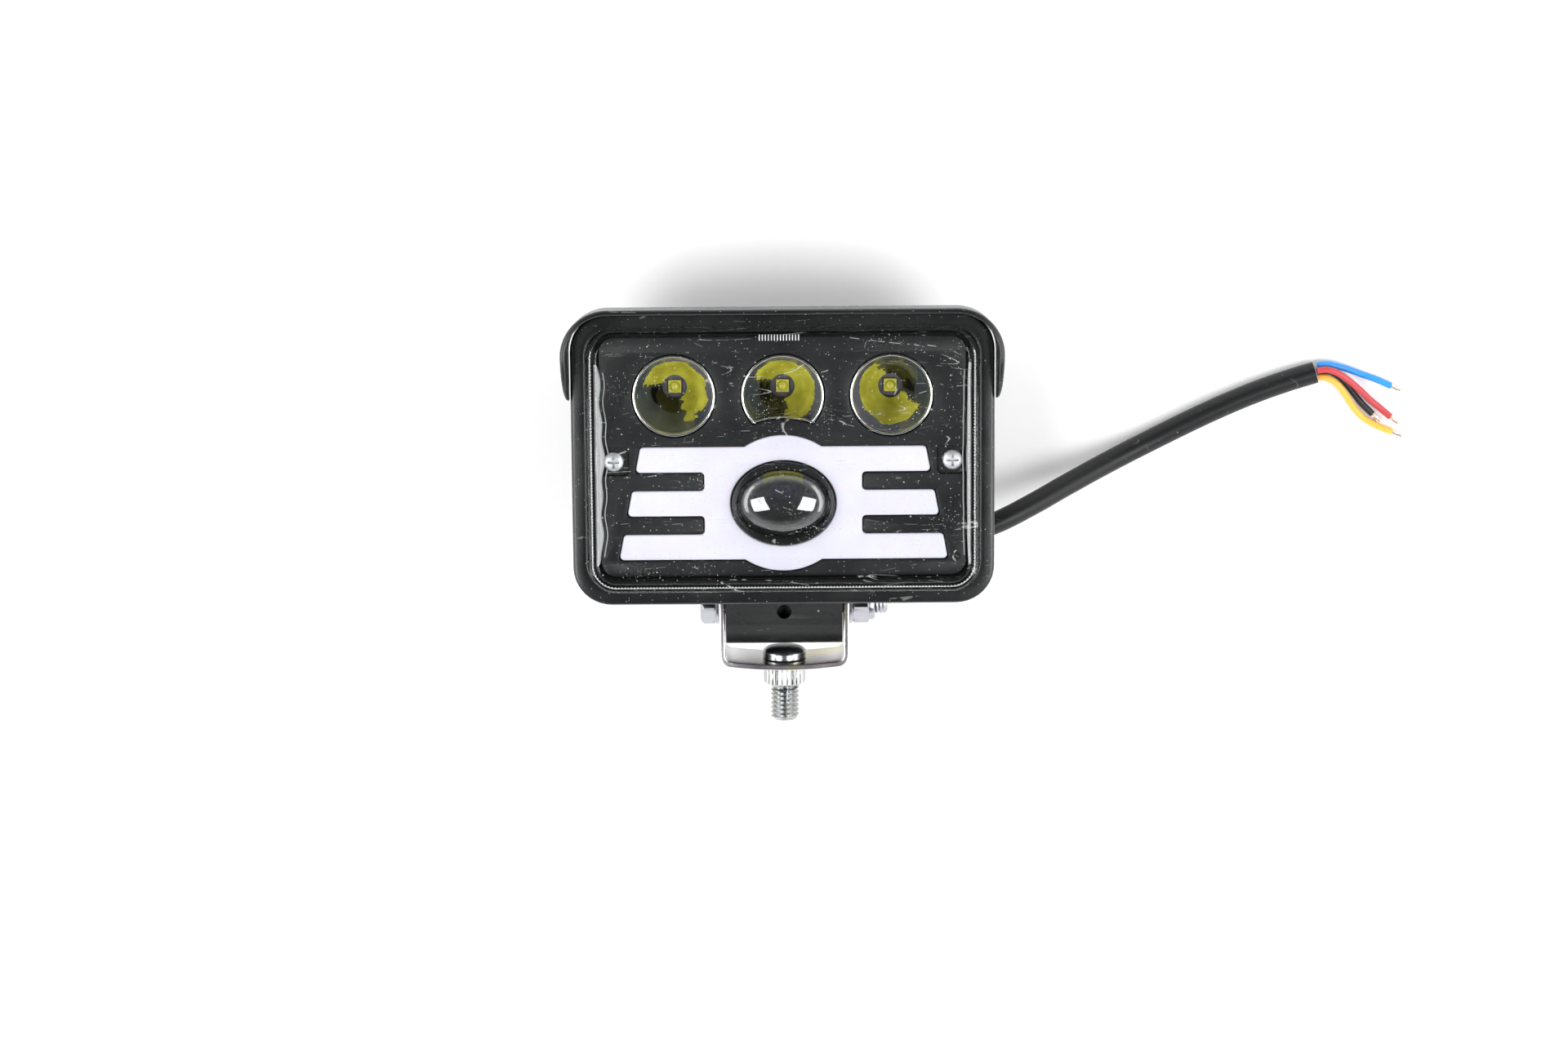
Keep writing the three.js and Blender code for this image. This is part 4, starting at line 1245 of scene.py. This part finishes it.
def make_bracket():
    line = bracket_line()
    rings = []
    for i, (x, y) in enumerate(line):
        before = Vector(line[max(0, i - 1)])
        after = Vector(line[min(len(line) - 1, i + 1)])
        along = (after - before).normalized()
        out = Vector((along.y, -along.x))
        past = max(0, y - PIVOT_Y)
        wide = max(0.5, math.sqrt(max(0, STRIP_HALF**2 - past**2)))
        round_off = min(0.3, wide * 0.4)
        section = rounded(STRIP_THICK, 2 * wide, round_off, 4, STRIP_THICK / 2, 0)
        rings.append([(x + out.x * u, y + out.y * u, PIVOT_Z + v) for u, v in section])
    strip = skin("u_strip", rings)
    cutters = [
        polar("pivot_hole", [(-30, 3.3), (30, 3.3)], "x", (0, PIVOT_Y, PIVOT_Z), 48),
        polar("stud_hole", [(-66, 4.3), (-56, 4.3)], "y", (0, 0, PIVOT_Z), 48),
    ]
    install(carve(strip, cutters), "zinc_strip", "zinc", "bracket", "mounting_bracket")


def make_gland():
    """Short tapered strain relief with grip ribs."""
    stations = [(0, 3.3), (0, 5.7), (0.25, 6.0), (1.2, 6.0), (1.45, 5.6), (1.8, 4.9)]
    for i in range(3):
        z = 2.0 + i
        taper = 4.85 - 0.18 * i
        stations += [(z, taper - 0.35), (z + 0.25, taper), (z + 0.65, taper), (z + 0.85, taper - 0.35)]
    stations += [(5.0, 4.1), (5.2, 3.85), (5.2, 3.3)]
    gland = polar("gland", stations, "x", (0, 0, 0), 64, True)
    place = Vector((50.2, -25.35, 18)) * MM
    gland.data.transform(Matrix.Translation(place) @ Matrix.Rotation(math.radians(12), 4, "Z"))
    install(gland, "black_rubber", "black_rubber", "lamp", "cable_gland")


make_screws()
make_pivot()
make_stud()
make_bracket()
make_gland()


# ---------------------------------------------------------------- housing and inner pieces


def make_housing():
    source = bpy.data.objects["rear_housing"].data
    mesh = source.copy()
    mesh.name = "housing"
    weld(mesh, 0.001, True)
    smooth(mesh, 25)
    housing = new_object("housing", mesh)
    soften(housing, 0.35, 32).harden_normals = True
    install(housing, "painted_casting", "painted_casting", "lamp", "rear_housing")


def dress(node, look):
    obj = bpy.data.objects[node]
    if not obj.material_slots:
        obj.data.materials.append(None)
    for slot in obj.material_slots:
        slot.material = LOOKS[look]
    soften(obj, 0.15, 40)


INNER_LOOKS = {
    "lens_seal": "black_rubber",
    "led_board": "led_board",
    "thermal_pad": "thermal_pad",
    "projector_holder": "gloss_black",
    "projector_reflector": "projector_mirror",
    "projector_led": "led_board",
    "projector_heat_block": "aluminium",
    "guide_board": "circuit_board",
    "driver_board": "circuit_board",
    "inductor": "black_rubber",
    "capacitor": "aluminium",
    "driver_chip": "gloss_black",
}

make_housing()
for node, look in INNER_LOOKS.items():
    dress(node, look)


# ---------------------------------------------------------------- floor and light


def make_floor():
    half = 4.0
    mesh = bpy.data.meshes.new("floor")
    corners = [(-half, -half, 0), (half, -half, 0), (half, half, 0), (-half, half, 0)]
    mesh.from_pydata(corners, [], [(0, 1, 2, 3)])
    floor = new_object("floor", mesh)
    paper = Look("floor_paper")
    grain = paper.noise(400, 2)
    paper.set(base_color=paper.tint(grain, (0.86, 0.86, 0.86), (0.88, 0.88, 0.88)), roughness=0.9)
    floor.data.materials.append(paper.material)


def area_light(name, at, size, power):
    data = bpy.data.lights.new(name, "AREA")
    data.shape = "RECTANGLE"
    data.size = size[0]
    data.size_y = size[1]
    data.energy = power
    light = new_object(name, data)
    aim = Vector((0, 0, 0.02)) - Vector(at)
    light.matrix_world = Matrix.Translation(at) @ aim.to_track_quat("-Z", "Y").to_matrix().to_4x4()


def make_world():
    """A studio room: dark overhead, pale towards the walls."""
    world = bpy.data.worlds.new("studio")
    bpy.context.scene.world = world
    world.use_nodes = True
    tree = world.node_tree
    place = tree.nodes.new("ShaderNodeTexCoord")
    parts = tree.nodes.new("ShaderNodeSeparateXYZ")
    tree.links.new(place.outputs["Generated"], parts.inputs[0])
    fall = tree.nodes.new("ShaderNodeMapRange")
    fall.inputs["From Min"].default_value = 0.35
    fall.inputs["From Max"].default_value = 0.75
    fall.inputs["To Min"].default_value = 1.8
    fall.inputs["To Max"].default_value = 0.05
    tree.links.new(parts.outputs["Z"], fall.inputs["Value"])
    tree.links.new(fall.outputs[0], tree.nodes["Background"].inputs["Strength"])
    tree.nodes["Background"].inputs["Color"].default_value = (1, 1, 1, 1)


def make_lights():
    for side in (-1, 1):
        area_light(f"softbox_{side}", (side * 0.80, -0.27, 1.40), (0.78, 0.70), 15.5)
        area_light(f"side_panel_{side}", (side * 1.40, 0.10, 0.82), (2.1, 0.42), 12)


make_floor()
make_world()
make_lights()
bpy.context.scene.view_settings.view_transform = "Standard"
